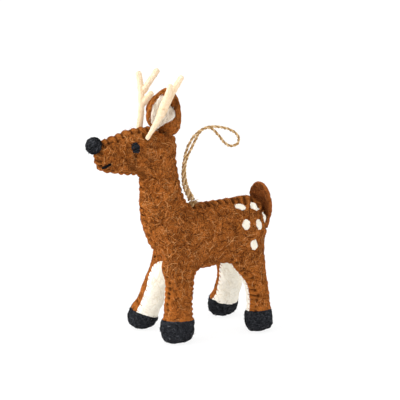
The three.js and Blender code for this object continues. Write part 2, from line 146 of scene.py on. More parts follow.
def whiteRoom():
    world = bpy.data.worlds.new("whiteRoom")
    world.use_nodes = True
    tree = world.node_tree
    shade = tree.nodes["Background"]
    shade.inputs["Color"].default_value = white
    shade.inputs["Strength"].default_value = lightSettings["roomStrength"]
    bright = addNode(tree, "Background", {"Color": white, "Strength": 1})
    choose = addNode(tree, "MixShader", {0: seenShare(tree), 1: shade.outputs[0], 2: bright.outputs[0]})
    tree.links.new(choose.outputs[0], tree.nodes["World Output"].inputs["Surface"])
    scene.world = world


def addFloor():
    shape = bmesh.new()
    bmesh.ops.create_grid(shape, x_segments=1, y_segments=1, size=lightSettings["floorHalf"])
    bmesh.ops.translate(shape, verts=shape.verts, vec=(0, 0, -lightSettings["floorDrop"]))
    mesh = written(shape, "paleFloor")
    material = bpy.data.materials.new("paleFloor")
    material.use_nodes = True
    tree = material.node_tree
    plain = addNode(tree, "BsdfDiffuse", {"Color": lightSettings["floorGrey"]})
    glow = addNode(tree, "Emission", {"Color": white, "Strength": lightSettings["floorWhite"]})
    share = mathNode(tree, "MULTIPLY", seenShare(tree), lightSettings["floorGlow"])
    blend = addNode(tree, "MixShader", {0: share, 1: plain.outputs[0], 2: glow.outputs[0]})
    tree.links.new(blend.outputs[0], tree.nodes["Material Output"].inputs["Surface"])
    mesh.materials.append(material)
    linked("paleFloor", mesh)


# helpers for meshes
def pulled(items, field, width=3, kind=np.float32):
    flat = np.empty(len(items) * width, kind)
    items.foreach_get(field, flat)
    return flat.reshape(-1, width)


def coords(mesh):
    return pulled(mesh.vertices, "co").astype(float)


def setCoords(mesh, places):
    mesh.vertices.foreach_set("co", np.asarray(places, np.float32).ravel())
    mesh.update()


def vertexNormals(mesh):
    return pulled(mesh.vertex_normals, "vector").astype(float)


def setAttribute(mesh, name, values):
    layer = mesh.attributes.get(name) or mesh.attributes.new(name, "FLOAT", "POINT")
    layer.data.foreach_set("value", np.asarray(values, np.float32))


def shapeOf(*meshes):
    shape = bmesh.new()
    for mesh in meshes:
        shape.from_mesh(mesh)
    return shape


def written(shape, mesh):
    # the shape goes into the mesh, or into a new mesh of that name
    if isinstance(mesh, str):
        mesh = bpy.data.meshes.new(mesh)
    shape.to_mesh(mesh)
    shape.free()
    return mesh


def addModifier(holder, name, kind, **settings):
    modifier = holder.modifiers.new(name, kind)
    for key, value in settings.items():
        setattr(modifier, key, value)
    return modifier


def evaluated(holder):
    # what the object looks like with its modifiers, as a mesh; the object itself goes
    view = bpy.context.evaluated_depsgraph_get()
    view.update()
    mesh = bpy.data.meshes.new_from_object(holder.evaluated_get(view))
    bpy.data.objects.remove(holder)
    return mesh


def evaluatedMesh(data, *modifiers):
    holder = linked("holder", data)
    for kind, settings in modifiers:
        addModifier(holder, kind.lower(), kind, **settings)
    return evaluated(holder)


def remeshed(mesh, voxel, smooth):
    return evaluatedMesh(
        mesh,
        ("REMESH", {"mode": "VOXEL", "voxel_size": voxel, "use_smooth_shade": True}),
        ("SMOOTH", {"factor": 0.5, "iterations": smooth}),
    )


def cadCopy(*names):
    shape = shapeOf(*(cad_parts[name].data for name in names))
    bmesh.ops.remove_doubles(shape, verts=shape.verts, dist=1e-6)
    return written(shape, names[0] + "Copy")


def surfaceTree(mesh):
    shape = shapeOf(mesh)
    tree = BVHTree.FromBMesh(shape)
    shape.free()
    return tree


def distances(tree, points):
    return np.array([tree.find_nearest(Vector(p))[3] for p in points])


def lumps(points, scale, height, seed):
    # soft random swelling of some millimetres, one number for each point
    shift = Vector((seed, seed * 1.7, -seed))
    return np.array([noise.noise(Vector(p) * scale + shift) for p in points]) * (height * mm)


def ramp(values, start, length):
    # from 0 at the start to 1 after the length
    return np.clip((values - start) / length, 0, 1)


def hump(values, width):
    # 1 at zero, and less on both sides
    return np.exp(-(values / width) ** 2)


def unit(vectors):
    return vectors / np.maximum(np.linalg.norm(vectors, axis=-1, keepdims=True), 1e-12)


def flattened(way, normal):
    # the part of a direction that lies along the surface
    return (way - normal * way.dot(normal)).normalized()


def camelName(node):
    first, *rest = node.split("_")
    return first + "".join(word.capitalize() for word in rest)


def addPiece(name, mesh, body, material, replaced=()):
    mesh.name = name
    mesh.materials.clear()
    mesh.materials.append(material)
    mesh.shade_smooth()
    piece = linked(name, mesh)
    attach(piece, body)
    if replaced:
        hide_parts(*replaced)
    return piece


addCamera()
for lampName, lamp in lightSettings["lamps"].items():
    addLamp(lampName, *lamp)
whiteRoom()
addFloor()
print("camera, lamps, room and floor are set")


# threads and fibres
def smoothLine(points, perSpan):
    # an even curve through the points
    curve = bpy.data.curves.new("route", "CURVE")
    curve.dimensions = "3D"
    curve.resolution_u = perSpan
    spline = curve.splines.new("BEZIER")
    spline.bezier_points.add(len(points) - 1)
    for knot, point in zip(spline.bezier_points, points):
        knot.co = point
        knot.handle_left_type = "AUTO"
        knot.handle_right_type = "AUTO"
    return coords(evaluatedMesh(curve))


def threads(name, lines, thickness, roundness, radii, tints):
    # round threads along the lines, with closed ends, in one mesh
    curve = bpy.data.curves.new(name, "CURVE")
    curve.dimensions = "3D"
    curve.bevel_depth = thickness / 2
    curve.bevel_resolution = roundness
    for line, radius in zip(lines, radii):
        spline = curve.splines.new("POLY")
        spline.points.add(len(line) - 1)
        spline.points.foreach_set("co", np.c_[line, np.ones(len(line))].astype(np.float32).ravel())
        spline.points.foreach_set("radius", np.asarray(radius, np.float32))
    mesh = evaluatedMesh(curve)
    counts = np.array([len(line) for line in lines])
    around = len(mesh.vertices) // counts.sum()
    setAttribute(mesh, "tint", np.repeat(np.asarray(tints), counts * around))
    shape = shapeOf(mesh)
    bmesh.ops.holes_fill(shape, edges=[e for e in shape.edges if e.is_boundary], sides=12)
    return written(shape, mesh)


def spread(mesh, count):
    # random places, even over the surface
    mesh.calc_loop_triangles()
    corners = pulled(mesh.loop_triangles, "vertices", 3, np.int32)
    places = coords(mesh)
    a, b, c = (places[corners[:, i]] for i in range(3))
    areas = np.linalg.norm(np.cross(b - a, c - a), axis=1)
    chosen = rng.choice(len(corners), count, p=areas / areas.sum())
    u, v = rng.random(count), rng.random(count)
    over = u + v > 1
    u[over], v[over] = 1 - u[over], 1 - v[over]
    return a[chosen] + (b - a)[chosen] * u[:, None] + (c - a)[chosen] * v[:, None]


# wool fibres in millimetres; stray is the share that may leave its own part of the body
fuzzSettings = table(("length", "bend", "lift", "thickness", "tint", "stray"), {
    "body": ((2.2, 5.4), 0.36, 0.11, 0.19, (0.6, 0.85), 0.03),
    "hairs": ((5.0, 11.0), 0.3, 0.22, 0.09, (3.4, 1.3), 0.03),
    "hoof": ((0.8, 2.2), 0.3, 0.14, 0.14, (0.5, 1.3), 0.6),
    "lining": ((2.0, 5.0), 0.12, 0.25, 0.2, (1.0, 0.6), 1),
    "small": ((1.2, 2.6), 0.3, 0.08, 0.11, (1.5, 1.5), 1),
})
fibreSettings = {
    "offSurface": 0.02, "offFloor": 0.15, "liftShape": 1.2, "uncombed": 0.35, "shortStep": 0.2,
    "taper": (0.7, 1, 1, 0.8, 0.35), "widths": (0.6, 1.3),
}


def fuzz(name, mesh, count, settings, tree=None, faceParts=None, own=None, spans=4, comb=None):
    # curved fibres that lie on a surface, with loose ends; those that leave their own part are dropped
    f = fibreSettings
    tree = tree or surfaceTree(mesh)
    spots = spread(mesh, count)
    lengths = rng.uniform(*settings["length"], count) * mm
    bends = rng.normal(0, settings["bend"], count)
    lifts = rng.gamma(f["liftShape"], settings["lift"], count) * mm
    strays = rng.random(count) < settings["stray"]
    shares = np.linspace(0, 1, spans + 1)
    taper = np.interp(shares, np.linspace(0, 1, len(f["taper"])), f["taper"])
    lines, radii = [], []
    for i in range(count):
        place, normal, _, _ = tree.find_nearest(Vector(spots[i]))
        heading = normal.cross(Vector(rng.normal(size=3))).normalized()
        if comb is not None:
            heading = flattened(heading * f["uncombed"] + Vector(comb) * rng.choice([-1, 1]), normal)
        step = lengths[i] / spans
        line, left = [], False
        for share in shares:
            point = place + normal * (f["offSurface"] * mm + lifts[i] * share ** 2)
            point.z = max(point.z, f["offFloor"] * mm)
            line.append(point)
            found = tree.find_nearest(place + heading * step)
            left = left or (faceParts is not None and faceParts[found[2]] != own)
            stuck = (found[0] - place).length < f["shortStep"] * step
            place = place + heading * f["shortStep"] * step if stuck else found[0]
            normal = found[1]
            heading = flattened(heading + normal.cross(heading) * bends[i], normal)
        if strays[i] or not left:
            lines.append(np.array(line))
            radii.append(taper * rng.uniform(*f["widths"]))
    tints = rng.beta(*settings["tint"], len(lines))
    return threads(name, lines, settings["thickness"] * mm, 0, radii, tints)


# materials: felt with curly fibres in it, and loose fibres that each have a tint of their own
lookSettings = {
    "gloss": 0.06, "sheenRoughness": 0.6, "feltRoughness": 0.95,
    # scale, detail, roughness, distortion and shift of each noise
    "noises": {
        "cloud": (110, 2.0, 0.5, 0.8, 0.0),
        "blotch": (420, 2.0, 0.6, 1.2, 0.6),
        "heather": (1150, 3.0, 0.8, 1.6, 0.3),
        "fine": (2600, 2.0, 0.6, 0.6, 0.9),
    },
    # scale, width and shift of each kind of fibre
    "fibres": {"dark": (520, 0.03, 0.77), "warm": (620, 0.03, 0.43), "pale": (420, 0.022, 0.11)},
    "curl": {"detail": 1.0, "rough": 0.5, "warp": 1.6},
    # tones laid over the base: by which noise or fibre, how strongly, over which span of the noise
    "layers": [
        ("light", "heather", 1.0, (0.48, 0.55)),
        ("deep", "heather", 1.0, (0.5, 0.43)),
        ("deep", "cloud", 0.4, (0.52, 0.36)),
        ("light", "cloud", 0.36, (0.5, 0.64)),
        ("deep", "blotch", 0.45, (0.52, 0.36)),
        ("light", "blotch", 0.3, (0.5, 0.64)),
        ("deep", "dark", 0.8, None),
        ("light", "warm", 0.6, None),
        ("pale", "pale", 0.5, None),
    ],
    # strength of the painted highlight and of the painted shade
    "paintedLight": 0.4, "paintedShade": 0.95,
    "relief": {"heather": 0.9, "fine": 0.35, "warm": 0.3},
    "reliefHeight": 0.0006, "fibreRoughness": 0.85, "fibreSheen": 0.2, "fibrePatches": (700, 2.0, 0.5, 0.0),
    "fibreVaries": 0.5,
    "fibreStops": {"base": 0.35, "light": 0.8},
}


def tone(red, green, blue):
    # an sRGB colour in linear light
    levels = [level / 255 for level in (red, green, blue)]
    return (*(c / 12.92 if c <= 0.04045 else ((c + 0.055) / 1.055) ** 2.4 for c in levels), 1)


def newMaterial(name, roughness, sheen, sheenTint):
    material = bpy.data.materials.new(name)
    material.use_nodes = True
    shader = material.node_tree.nodes["Principled BSDF"]
    for key, value in {
        "Roughness": roughness,
        "Specular IOR Level": lookSettings["gloss"],
        "Sheen Weight": sheen,
        "Sheen Roughness": lookSettings["sheenRoughness"],
        "Sheen Tint": sheenTint,
    }.items():
        shader.inputs[key].default_value = value
    return material, material.node_tree, shader


def noiseNode(tree, place, scale, detail, rough, warp, shift=0.0):
    moved = addNode(tree, "Mapping", {"Vector": place, "Location": (shift, shift * 0.7, -shift)})
    grain = {"Vector": moved.outputs[0], "Scale": scale, "Detail": detail, "Roughness": rough, "Distortion": warp}
    return addNode(tree, "TexNoise", grain).outputs["Fac"]


def rangeNode(tree, value, low, high, start=0.0, end=1.0):
    span = {"Value": value, "From Min": low, "From Max": high, "To Min": start, "To Max": end}
    return addNode(tree, "MapRange", span, interpolation_type="SMOOTHSTEP").outputs["Result"]


def mixNode(tree, share, first, second):
    return addNode(tree, "Mix", {0: share, 6: first, 7: second}, data_type="RGBA").outputs[2]


def fibreLines(tree, place, scale, width, shift):
    # thin curly lines where a warped noise crosses its middle
    wave = noiseNode(tree, place, scale, **lookSettings["curl"], shift=shift)
    off = mathNode(tree, "ABSOLUTE", mathNode(tree, "SUBTRACT", wave, 0.5))
    return rangeNode(tree, off, 0.0, width, 1.0, 0.0)


def feltMaterial(name, tones, contrast, sheen, bumpiness, shadeTone=None):
    material, tree, shader = newMaterial(name, lookSettings["feltRoughness"], sheen, tones["light"])
    place = addNode(tree, "TexCoord").outputs["Object"]
    masks = {key: noiseNode(tree, place, *row) for key, row in lookSettings["noises"].items()}
    masks |= {key: fibreLines(tree, place, *row) for key, row in lookSettings["fibres"].items()}
    colour = tones["base"]
    for laid, key, strength, span in lookSettings["layers"]:
        share = rangeNode(tree, masks[key], *span) if span else masks[key]
        share = mathNode(tree, "MULTIPLY", share, contrast * strength)
        colour = mixNode(tree, share, colour, tones[laid])
    # painted highlight and painted shade from two attributes, laid over the felt's colour
    for key, laid in (("paintedLight", tones["light"]), ("paintedShade", shadeTone or tones["deep"])):
        marked = addNode(tree, "Attribute", attribute_name=key).outputs["Fac"]
        colour = mixNode(tree, mathNode(tree, "MULTIPLY", marked, lookSettings[key]), colour, laid)
    height = 0.0
    for key, strength in lookSettings["relief"].items():
        height = mathNode(tree, "ADD", height, mathNode(tree, "MULTIPLY", masks[key], strength))
    bump = {"Strength": bumpiness, "Distance": lookSettings["reliefHeight"], "Height": height}
    tree.links.new(colour, shader.inputs["Base Color"])
    tree.links.new(addNode(tree, "Bump", bump).outputs[0], shader.inputs["Normal"])
    return material


def fibreMaterial(name, tones):
    # each fibre has its own tint, from deep to pale
    look = lookSettings
    material, tree, shader = newMaterial(name, look["fibreRoughness"], look["fibreSheen"], tones["light"])
    place = addNode(tree, "TexCoord").outputs["Object"]
    patch = mathNode(tree, "SUBTRACT", noiseNode(tree, place, *look["fibrePatches"]), 0.5)
    patch = mathNode(tree, "MULTIPLY", patch, look["fibreVaries"])
    tint = addNode(tree, "Attribute", attribute_name="tint").outputs["Fac"]
    scale = addNode(tree, "ValToRGB", {"Fac": mathNode(tree, "ADD", tint, patch)})
    stops = scale.color_ramp.elements
    stops[0].color, stops[1].color = tones["deep"], tones["pale"]
    for key, position in look["fibreStops"].items():
        stops.new(position).color = tones[key]
    tree.links.new(scale.outputs["Color"], shader.inputs["Base Color"])
    return material


# deep, base, light and pale tone of each material
toneRows = {
    "brown": ((44, 17, 3), (132, 70, 25), (202, 118, 50), (226, 168, 108)),
    "darkBrown": ((48, 20, 5), (112, 57, 22), (176, 100, 46), (206, 140, 84)),
    "white": ((244, 233, 212), (254, 249, 237), (255, 251, 241), (255, 253, 247)),
    "lining": ((186, 164, 140), (234, 222, 204), (247, 238, 224), (254, 250, 242)),
    "cream": ((232, 198, 156), (250, 227, 194), (252, 236, 210), (254, 246, 228)),
    "black": ((2, 2, 3), (13, 14, 16), (56, 58, 63), (136, 138, 144)),
    "jute": ((84, 58, 32), (172, 134, 86), (216, 182, 134), (238, 216, 178)),
}
# contrast, sheen and bumpiness of each felt, and the painted shade tone in its seams if it has one
feltLooks = {
    "brown": (1.0, 0.6, 1.0, tone(32, 12, 2)),
    "darkBrown": (1.0, 0.4, 0.9),
    "white": (0.6, 0.35, 0.3),
    "lining": (0.8, 0.2, 0.5),
    "cream": (0.6, 0.2, 0.35),
    "black": (1.0, 0.1, 1.0),
}
linearRows = {key: [tone(*row) for row in rows] for key, rows in toneRows.items()}
allTones = table(("deep", "base", "light", "pale"), linearRows)
felts = {key: feltMaterial(key + "Felt", allTones[key], *look) for key, look in feltLooks.items()}
fibres = {key: fibreMaterial(key + "Fibre", tones) for key, tones in allTones.items()}
print("felt, fibre and twine materials are made")


def addFelted(name, mesh, felt, replaced, padding, count, kind, **where):
    # a felt piece with its fibres; its padding is not used
    piece = addPiece(name, mesh, "deer", felts[felt], replaced)
    fuzzMesh = fuzz(name + "Fuzz", mesh, count, kind, **where)
    addPiece(name + "Fuzz", fuzzMesh, "deer", fibres[felt])
    return piece


# hanging loop: two-ply jute twine from the knot, up and over to its eye and back, in millimetres from the knot
loopSettings = {
    "thickness": 1.1, "plyThickness": 0.74, "plyRadius": 0.33, "layLength": 3.4,
    # share, wave length and phase of the uneven thickness
    "uneven": ((0.16, 1.9, 1), (0.1, 0.7, 2)), "loosened": 0.35, "loosenedOver": 9, "perSpan": 14,
    "tints": (0.32, 0.86),
}
hairSettings = {
    "count": 260, "fromEnds": 4, "start": 0.4, "lean": (0.6, 1.4), "length": (0.5, 1.5), "lift": (0.2, 0.8),
    "taper": (1, 0.9, 0.7, 0.3), "thickness": 0.07, "tints": (0.3, 1),
}
loopRoute = [
    (-0.75, 0.2, 2.1), (-1.4, 0.2, 3.8), (-2.5, 0.2, 6), (-3.6, 0.2, 8.7), (-4.2, 0.1, 12.1), (-4.3, 0, 16.9),
    (-3.8, -0.2, 21.3), (-2.9, -0.5, 25.6), (-1.2, -0.8, 29.7), (2, -0.8, 33.4), (6.2, -0.8, 35.5),
    (9.8, -0.8, 35.9), (14.2, -0.6, 35.1), (18.8, -0.3, 33.4), (22.8, 0, 30.6), (24.2, 0.2, 27.8),
    (23.3, 0.3, 25.6), (20.6, 0.5, 25), (17.8, 0.6, 26.4), (15, 0.8, 29.8), (12.2, 0.8, 33.1), (9.6, 0.8, 35),
    (7.2, 0.8, 35.1), (4.8, 0.8, 33.7), (3, 0.8, 31.1), (0.8, 0.8, 27.1), (-1.3, 0.8, 23.4), (-2.7, 0.8, 19.2),
    (-2.9, 0.8, 14.9), (-2.4, 0.6, 10.5), (-1.05, 0.3, 6.2), (0.2, 0, 3.8), (0.75, -0.2, 2.1),
]
knotMiddle = boxMiddle("loop_knot")


def lineFrames(line):
    # two directions square to the line, carried along it without twist
    heading = unit(np.gradient(line, axis=0))
    side = np.empty_like(line)
    side[0] = unit(np.cross(heading[0], (0.3, 1, 0.2)))
    for i in range(1, len(line)):
        side[i] = unit(side[i - 1] - heading[i] * side[i - 1].dot(heading[i]))
    return heading, side, np.cross(heading, side)


def lengthsAlong(line):
    return np.r_[0, np.cumsum(np.linalg.norm(np.diff(line, axis=0), axis=1))]


def addTwine(name, line, body, tints, loosened=0.0):
    # two plies laid round the line, each one a little uneven, fuller near its ends where loosened
    s = loopSettings
    _, side, other = lineFrames(line)
    along = lengthsAlong(line)
    fuller = 1 + loosened * hump(np.minimum(along, along[-1] - along), s["loosenedOver"] * mm)
    plies, radii = [], []
    for phase in (0, math.pi):
        turn = phase + 2 * math.pi * along / (s["layLength"] * mm)
        offset = side * np.cos(turn)[:, None] + other * np.sin(turn)[:, None]
        plies.append(line + offset * fuller[:, None] * s["plyRadius"] * mm)
        uneven = sum(share * np.sin(along / (wave * mm) + times * phase) for share, wave, times in s["uneven"])
        radii.append((1 + uneven) * fuller)
    mesh = threads(name, plies, s["plyThickness"] * mm, 2, radii, tints)
    return addPiece(name, mesh, body, fibres["jute"], [body])


def addBristles(name, lines, body, settings):
    # loose fibres of the twine
    tapers = [settings["taper"]] * len(lines)
    tints = rng.uniform(*settings["tints"], len(lines))
    mesh = threads(name, lines, settings["thickness"] * mm, 0, tapers, tints)
    return addPiece(name, mesh, body, fibres["jute"])


knotSettings = {"spread": 0.43, "depth": 1.6, "stops": 120, "tints": (0.25, 0.6)}
# frayed ends behind the knot: mean and variation of their way, in millimetres
fraySettings = {
    "count": 70, "back": (1.0, 0.4), "aside": (-0.2, 0.35), "rise": (0.15, 0.8), "sag": (0.1, 0.7),
    "sagShare": 0.6, "start": (0.3, 0, 0.6), "scatter": 0.6, "length": (1.4, 3.4),
    "taper": (1.2, 1, 0.9, 0.7, 0.3), "thickness": 0.16, "tints": (0.3, 0.95),
}


def buildKnot():
    s, middle = fraySettings, np.array(knotMiddle)
    turn = np.linspace(0, 2 * math.pi, knotSettings["stops"])
    trefoil = np.c_[np.sin(turn) + 2 * np.sin(2 * turn), np.cos(turn) - 2 * np.cos(2 * turn),
                    -knotSettings["depth"] * np.sin(3 * turn)]
    knot = addTwine("twineKnot", trefoil * knotSettings["spread"] * mm + middle, "loop_knot", knotSettings["tints"])
    steps = np.linspace(0, 1, len(s["taper"]))[:, None]
    frays = []
    for _ in range(s["count"]):
        aim = unit(np.array([rng.normal(*s["back"]), rng.normal(*s["aside"]), rng.uniform(*s["rise"])]))
        sag = np.array([0, 0, -1]) * rng.uniform(*s["sag"])
        start = middle + rng.normal(0, s["scatter"], 3) * mm + np.array(s["start"]) * mm
        frays.append(start + (aim * steps + sag * steps ** 2 * s["sagShare"]) * rng.uniform(*s["length"]) * mm)
    fray = addBristles("twineFray", frays, "loop_knot", s)
    print("knot and its frayed ends are made")
    return [knot, fray]


def buildLoop(knotPieces):
    s = hairSettings
    route = np.array([Vector(p) * mm + knotMiddle for p in loopRoute])
    line = smoothLine(route, loopSettings["perSpan"])
    twine = addTwine("hangingTwine", line, "hanging_loop", loopSettings["tints"], loopSettings["loosened"])
    # stray hairs that stand off the twine
    heading, side, other = lineFrames(line)
    steps = np.linspace(0, 1, len(s["taper"]))[:, None]
    hairs = []
    for i in rng.integers(s["fromEnds"], len(line) - s["fromEnds"], s["count"]):
        turn = rng.uniform(0, 2 * math.pi)
        out = side[i] * math.cos(turn) + other[i] * math.sin(turn)
        lean = heading[i] * rng.choice([-1, 1]) * rng.uniform(*s["lean"])
        reach = rng.uniform(*s["length"]) * mm
        bent = lean * steps + out * steps ** 2 * rng.uniform(*s["lift"])
        hairs.append(line[i] + out * s["start"] * mm + bent * reach)
    stray = addBristles("twineHairs", hairs, "hanging_loop", s)


buildLoop(buildKnot())

# body: panels and stuffing become one form, swollen by cloth pressure between held seams, then cut at its seams
bodySettings = {
    "coarse": 1.9, "soften": 4, "scale": 5, "pressure": 4, "frames": 20, "most": 1.0, "heldHoof": 0.4,
    "heldSeam": 0.9, "fineLevels": 2, "feltThickness": 1.7, "padding": 0.85, "hairShare": 14, "hairSpans": 8,
    "snap": 0.05, "shortestSeam": 6, "seamStep": 0.25, "frontEnds": 10,
    "rightLegsBack": {
        "front": [(0, 0.75), (10, 0.1), (18, -0.4), (26, -0.4), (32, 0)],
        "hind": [(0, 1.0), (14, 0)],
    },
    "rightHoofLower": {"front": 1.8, "hind": 1.3},
    # rounds of evening out the seams, and scale, height and seed of the hooves' uneven upper edge
    "heldRounds": 2, "cutRounds": 24, "hoofEdge": (900, 0.35, 3.0),
    # how far the back seam runs beside the tail, from which x and z on and over what length
    "rumpSeam": 4.5, "rumpAlong": (27, 9), "rumpUp": (36, 8),
}
# how far the white gusset goes past the solids' seams, in millimetres, and where: the start and length
# of a change, or heights and shares
whiteSettings = {
    "hind": 0.5, "belly": -1.0, "bellyUp": (24, 5), "front": -0.2, "frontRear": 2.0, "rearAlong": (-4, 3),
    "rearDown": (30, -4), "foreLegs": -3, "rightFront": 1.4, "rightHeights": ((20, 26, 30, 33), (0, 1, 1, 0)),
    "chest": -3.0, "chestHeights": ((31, 33.5, 36), (0, 0.4, 1)),
}
# places filled out further: middle, radius and lift in millimetres
fullerPlaces = [
    ((11, -8, 34), 6, 2.6),
    ((20.5, -9, 35.5), 6, 1.7),
    ((5.5, -11.5, 28.5), 4.5, -1.8),
    ((-6, -9.5, 12), 11, 0.6),
    ((-13.6, -14.4, 8), 4, 0.8),
    ((-11.3, -10.8, 34.8), 4, 1.5),
    ((38.5, -12, 47), 6, -0.5),
    ((-2, -19.5, 2), 4, 0.7),
    ((39, -19.5, 2), 4, 0.6),
    ((35.5, 6.8, 15), 5, 1.2),
    ((-4.2, 6.6, 13), 5, 1.2),
    ((5.2, -13.5, 31.5), 3.5, -1.3),
]
# felt and number of fibres of each panel, and the stuffing inside it
panels = {
    "left_side_panel": ("brown", 4200, ["torso_stuffing", "left_front_leg_stuffing", "left_hind_leg_stuffing"]),
    "right_side_panel": ("brown", 4200, ["head_stuffing", "right_front_leg_stuffing", "right_hind_leg_stuffing"]),
    "belly_gusset": ("white", 1500, ["neck_stuffing"]),
}
hoofNames = ["left_front_hoof", "right_front_hoof", "left_hind_hoof", "right_hind_hoof"]
stuffingNames = ["torso_stuffing", "head_stuffing", "neck_stuffing"] + [
    name.replace("_hoof", "_leg_stuffing") for name in hoofNames]
# numbers of the parts of the cut body
leftPart, rightPart, whitePart, hoofPart, groovePart = 0, 1, 2, 3, 9
panelTrees = [surfaceTree(cadCopy(name)) for name in panels]
hoofTree = surfaceTree(cadCopy(*hoofNames))
torsoLow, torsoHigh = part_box("torso_stuffing")
midPlane = (torsoLow.y + torsoHigh.y) / 2


def largestPart(mesh):
    shape = shapeOf(mesh)
    groups, seen = [], set()
    for seed in shape.verts:
        if seed in seen:
            continue
        group, queue = [], [seed]
        seen.add(seed)
        while queue:
            vert = queue.pop()
            group.append(vert)
            for edge in vert.link_edges:
                other = edge.other_vert(vert)
                if other not in seen:
                    seen.add(other)
                    queue.append(other)
        groups.append(group)
    groups.sort(key=len)
    for group in groups[:-1]:
        bmesh.ops.delete(shape, geom=group, context="VERTS")
    return written(shape, mesh)


def evenOut(mesh, values, rounds):
    # average a number over neighbouring points
    a, b = pulled(mesh.edges, "vertices", 2, np.int32).T
    degree = np.bincount(np.r_[a, b], minlength=len(values))
    for _ in range(rounds):
        total = np.bincount(a, values[b], len(values)) + np.bincount(b, values[a], len(values))
        values = 0.5 * values + 0.5 * total / np.maximum(degree, 1)
    return values


def seamFields(mesh, rounds):
    # below zero: in a hoof, in the white gusset, in the left panel
    b, w = bodySettings, whiteSettings
    points = coords(mesh)
    x, z = points[:, 0] / mm, points[:, 2] / mm
    onRight, atFront = points[:, 1] > midPlane, x < w["foreLegs"]
    left, right, gusset = (distances(tree, points) for tree in panelTrees)
    brown = np.minimum(left, right)
    inHoof = evenOut(mesh, distances(hoofTree, points) - np.minimum(brown, gusset), rounds)
    lower = np.where(x < b["frontEnds"], b["rightHoofLower"]["front"], b["rightHoofLower"]["hind"])
    inHoof += np.where(onRight, lower, 0) * mm
    inGusset = evenOut(mesh, gusset - brown, rounds)
    onBelly = ramp(z, *w["bellyUp"])
    hind = w["hind"] * (1 - onBelly) + w["belly"] * onBelly
    front = w["front"] + w["frontRear"] * (ramp(x, *w["rearAlong"]) * ramp(z, *w["rearDown"]))
    front += w["rightFront"] * onRight * atFront * np.interp(z, *w["rightHeights"])
    front += atFront * np.interp(z, *w["chestHeights"]) * w["chest"]
    inGusset -= np.where(x > b["frontEnds"], hind, front) * mm
    aside = ramp(x, *b["rumpAlong"]) * ramp(z, *b["rumpUp"])
    return inHoof, inGusset, points[:, 1] - midPlane + b["rumpSeam"] * aside * mm


def swell(mesh):
    # cloth pressure on a larger copy, with the seams and hooves held
    b = bodySettings
    inHoof, inGusset, inLeft = seamFields(mesh, b["heldRounds"])
    onSeam = np.abs(inLeft) < b["heldSeam"] * mm
    held = (inHoof < b["heldHoof"] * mm) | (np.abs(inGusset) < b["heldSeam"] * mm) | (onSeam & (inGusset > 0))
    start = coords(mesh)
    grown = mesh.copy()
    setCoords(grown, start * b["scale"])
    holder = linked("swell", grown)
    group = holder.vertex_groups.new(name="held")
    group.add([int(i) for i in np.nonzero(held)[0]], 1.0, "REPLACE")
    cloth = addModifier(holder, "cloth", "CLOTH")
    cloth.settings.use_pressure = True
    cloth.settings.uniform_pressure_force = b["pressure"]
    cloth.settings.effector_weights.gravity = 0
    cloth.settings.vertex_group_mass = "held"
    cloth.collision_settings.use_collision = False
    for step in range(1, b["frames"] + 1):
        scene.frame_set(step)
    moved = coords(evaluated(holder)) / b["scale"] - start
    scene.frame_set(1)
    far = np.linalg.norm(moved, axis=1, keepdims=True)
    print("cloth pressure moved the felt by", np.round(np.percentile(far / mm, (50, 90, 100)), 2), "mm")
    most = b["most"] * mm
    moved *= most * np.tanh(far / most) / np.maximum(far, 1e-9)
    setCoords(mesh, start + moved)
    return mesh


def cutAlong(shape, layer):
    # new edges where the number changes sign
    for vert in shape.verts:
        if abs(vert[layer]) < bodySettings["snap"] * mm:
            vert[layer] = 0.0
    shares = {}
    for edge in shape.edges:
        first, second = edge.verts[0][layer], edge.verts[1][layer]
        if first * second < 0:
            shares[edge] = first / (first - second)
    split = bmesh.ops.bisect_edges(shape, edges=list(shares), cuts=1, edge_percents=shares)
    for item in split["geom_split"]:
        if isinstance(item, bmesh.types.BMVert):
            item[layer] = 0.0
    bmesh.ops.connect_verts(shape, verts=[v for v in shape.verts if v[layer] == 0.0])


def chained(edges):
    # edges joined up into lines of points
    reach = {}
    for edge in edges:
        for vert in edge.verts:
            reach.setdefault(vert, []).append(edge)
    left, lines = set(edges), []
    ends = [v for v, es in reach.items() if len(es) != 2]
    for start in ends + list(reach):
        for edge in reach[start]:
            if edge not in left:
                continue
            line, vert = [start], start
            while edge is not None:
                left.discard(edge)
                vert = edge.other_vert(vert)
                line.append(vert)
                onward = [e for e in reach[vert] if e in left]
                edge = onward[0] if len(reach[vert]) == 2 and onward else None
            lines.append(line)
    return lines


def resampled(line, stops, places):
    return np.column_stack([np.interp(stops, places, column) for column in line.T])


def evenPoints(line, gap):
    along = lengthsAlong(line)
    count = max(2, int(round(along[-1] / gap)) + 1)
    return resampled(line, np.linspace(0, along[-1], count), along)


def softened(line, rounds):
    line = line.copy()
    for _ in range(rounds):
        line[1:-1] = 0.25 * line[:-2] + 0.5 * line[1:-1] + 0.25 * line[2:]
    return line


def fillOut(mesh, places):
    # lifts a surface around each place, by less with distance
    points, normals = coords(mesh), vertexNormals(mesh)
    for middle, radius, lift in places:
        away = np.linalg.norm(points / mm - np.array(middle), axis=1)
        points += normals * (hump(away, radius) * lift * mm)[:, None]
    points[:, 2] = np.maximum(points[:, 2], 0)
    setCoords(mesh, points)


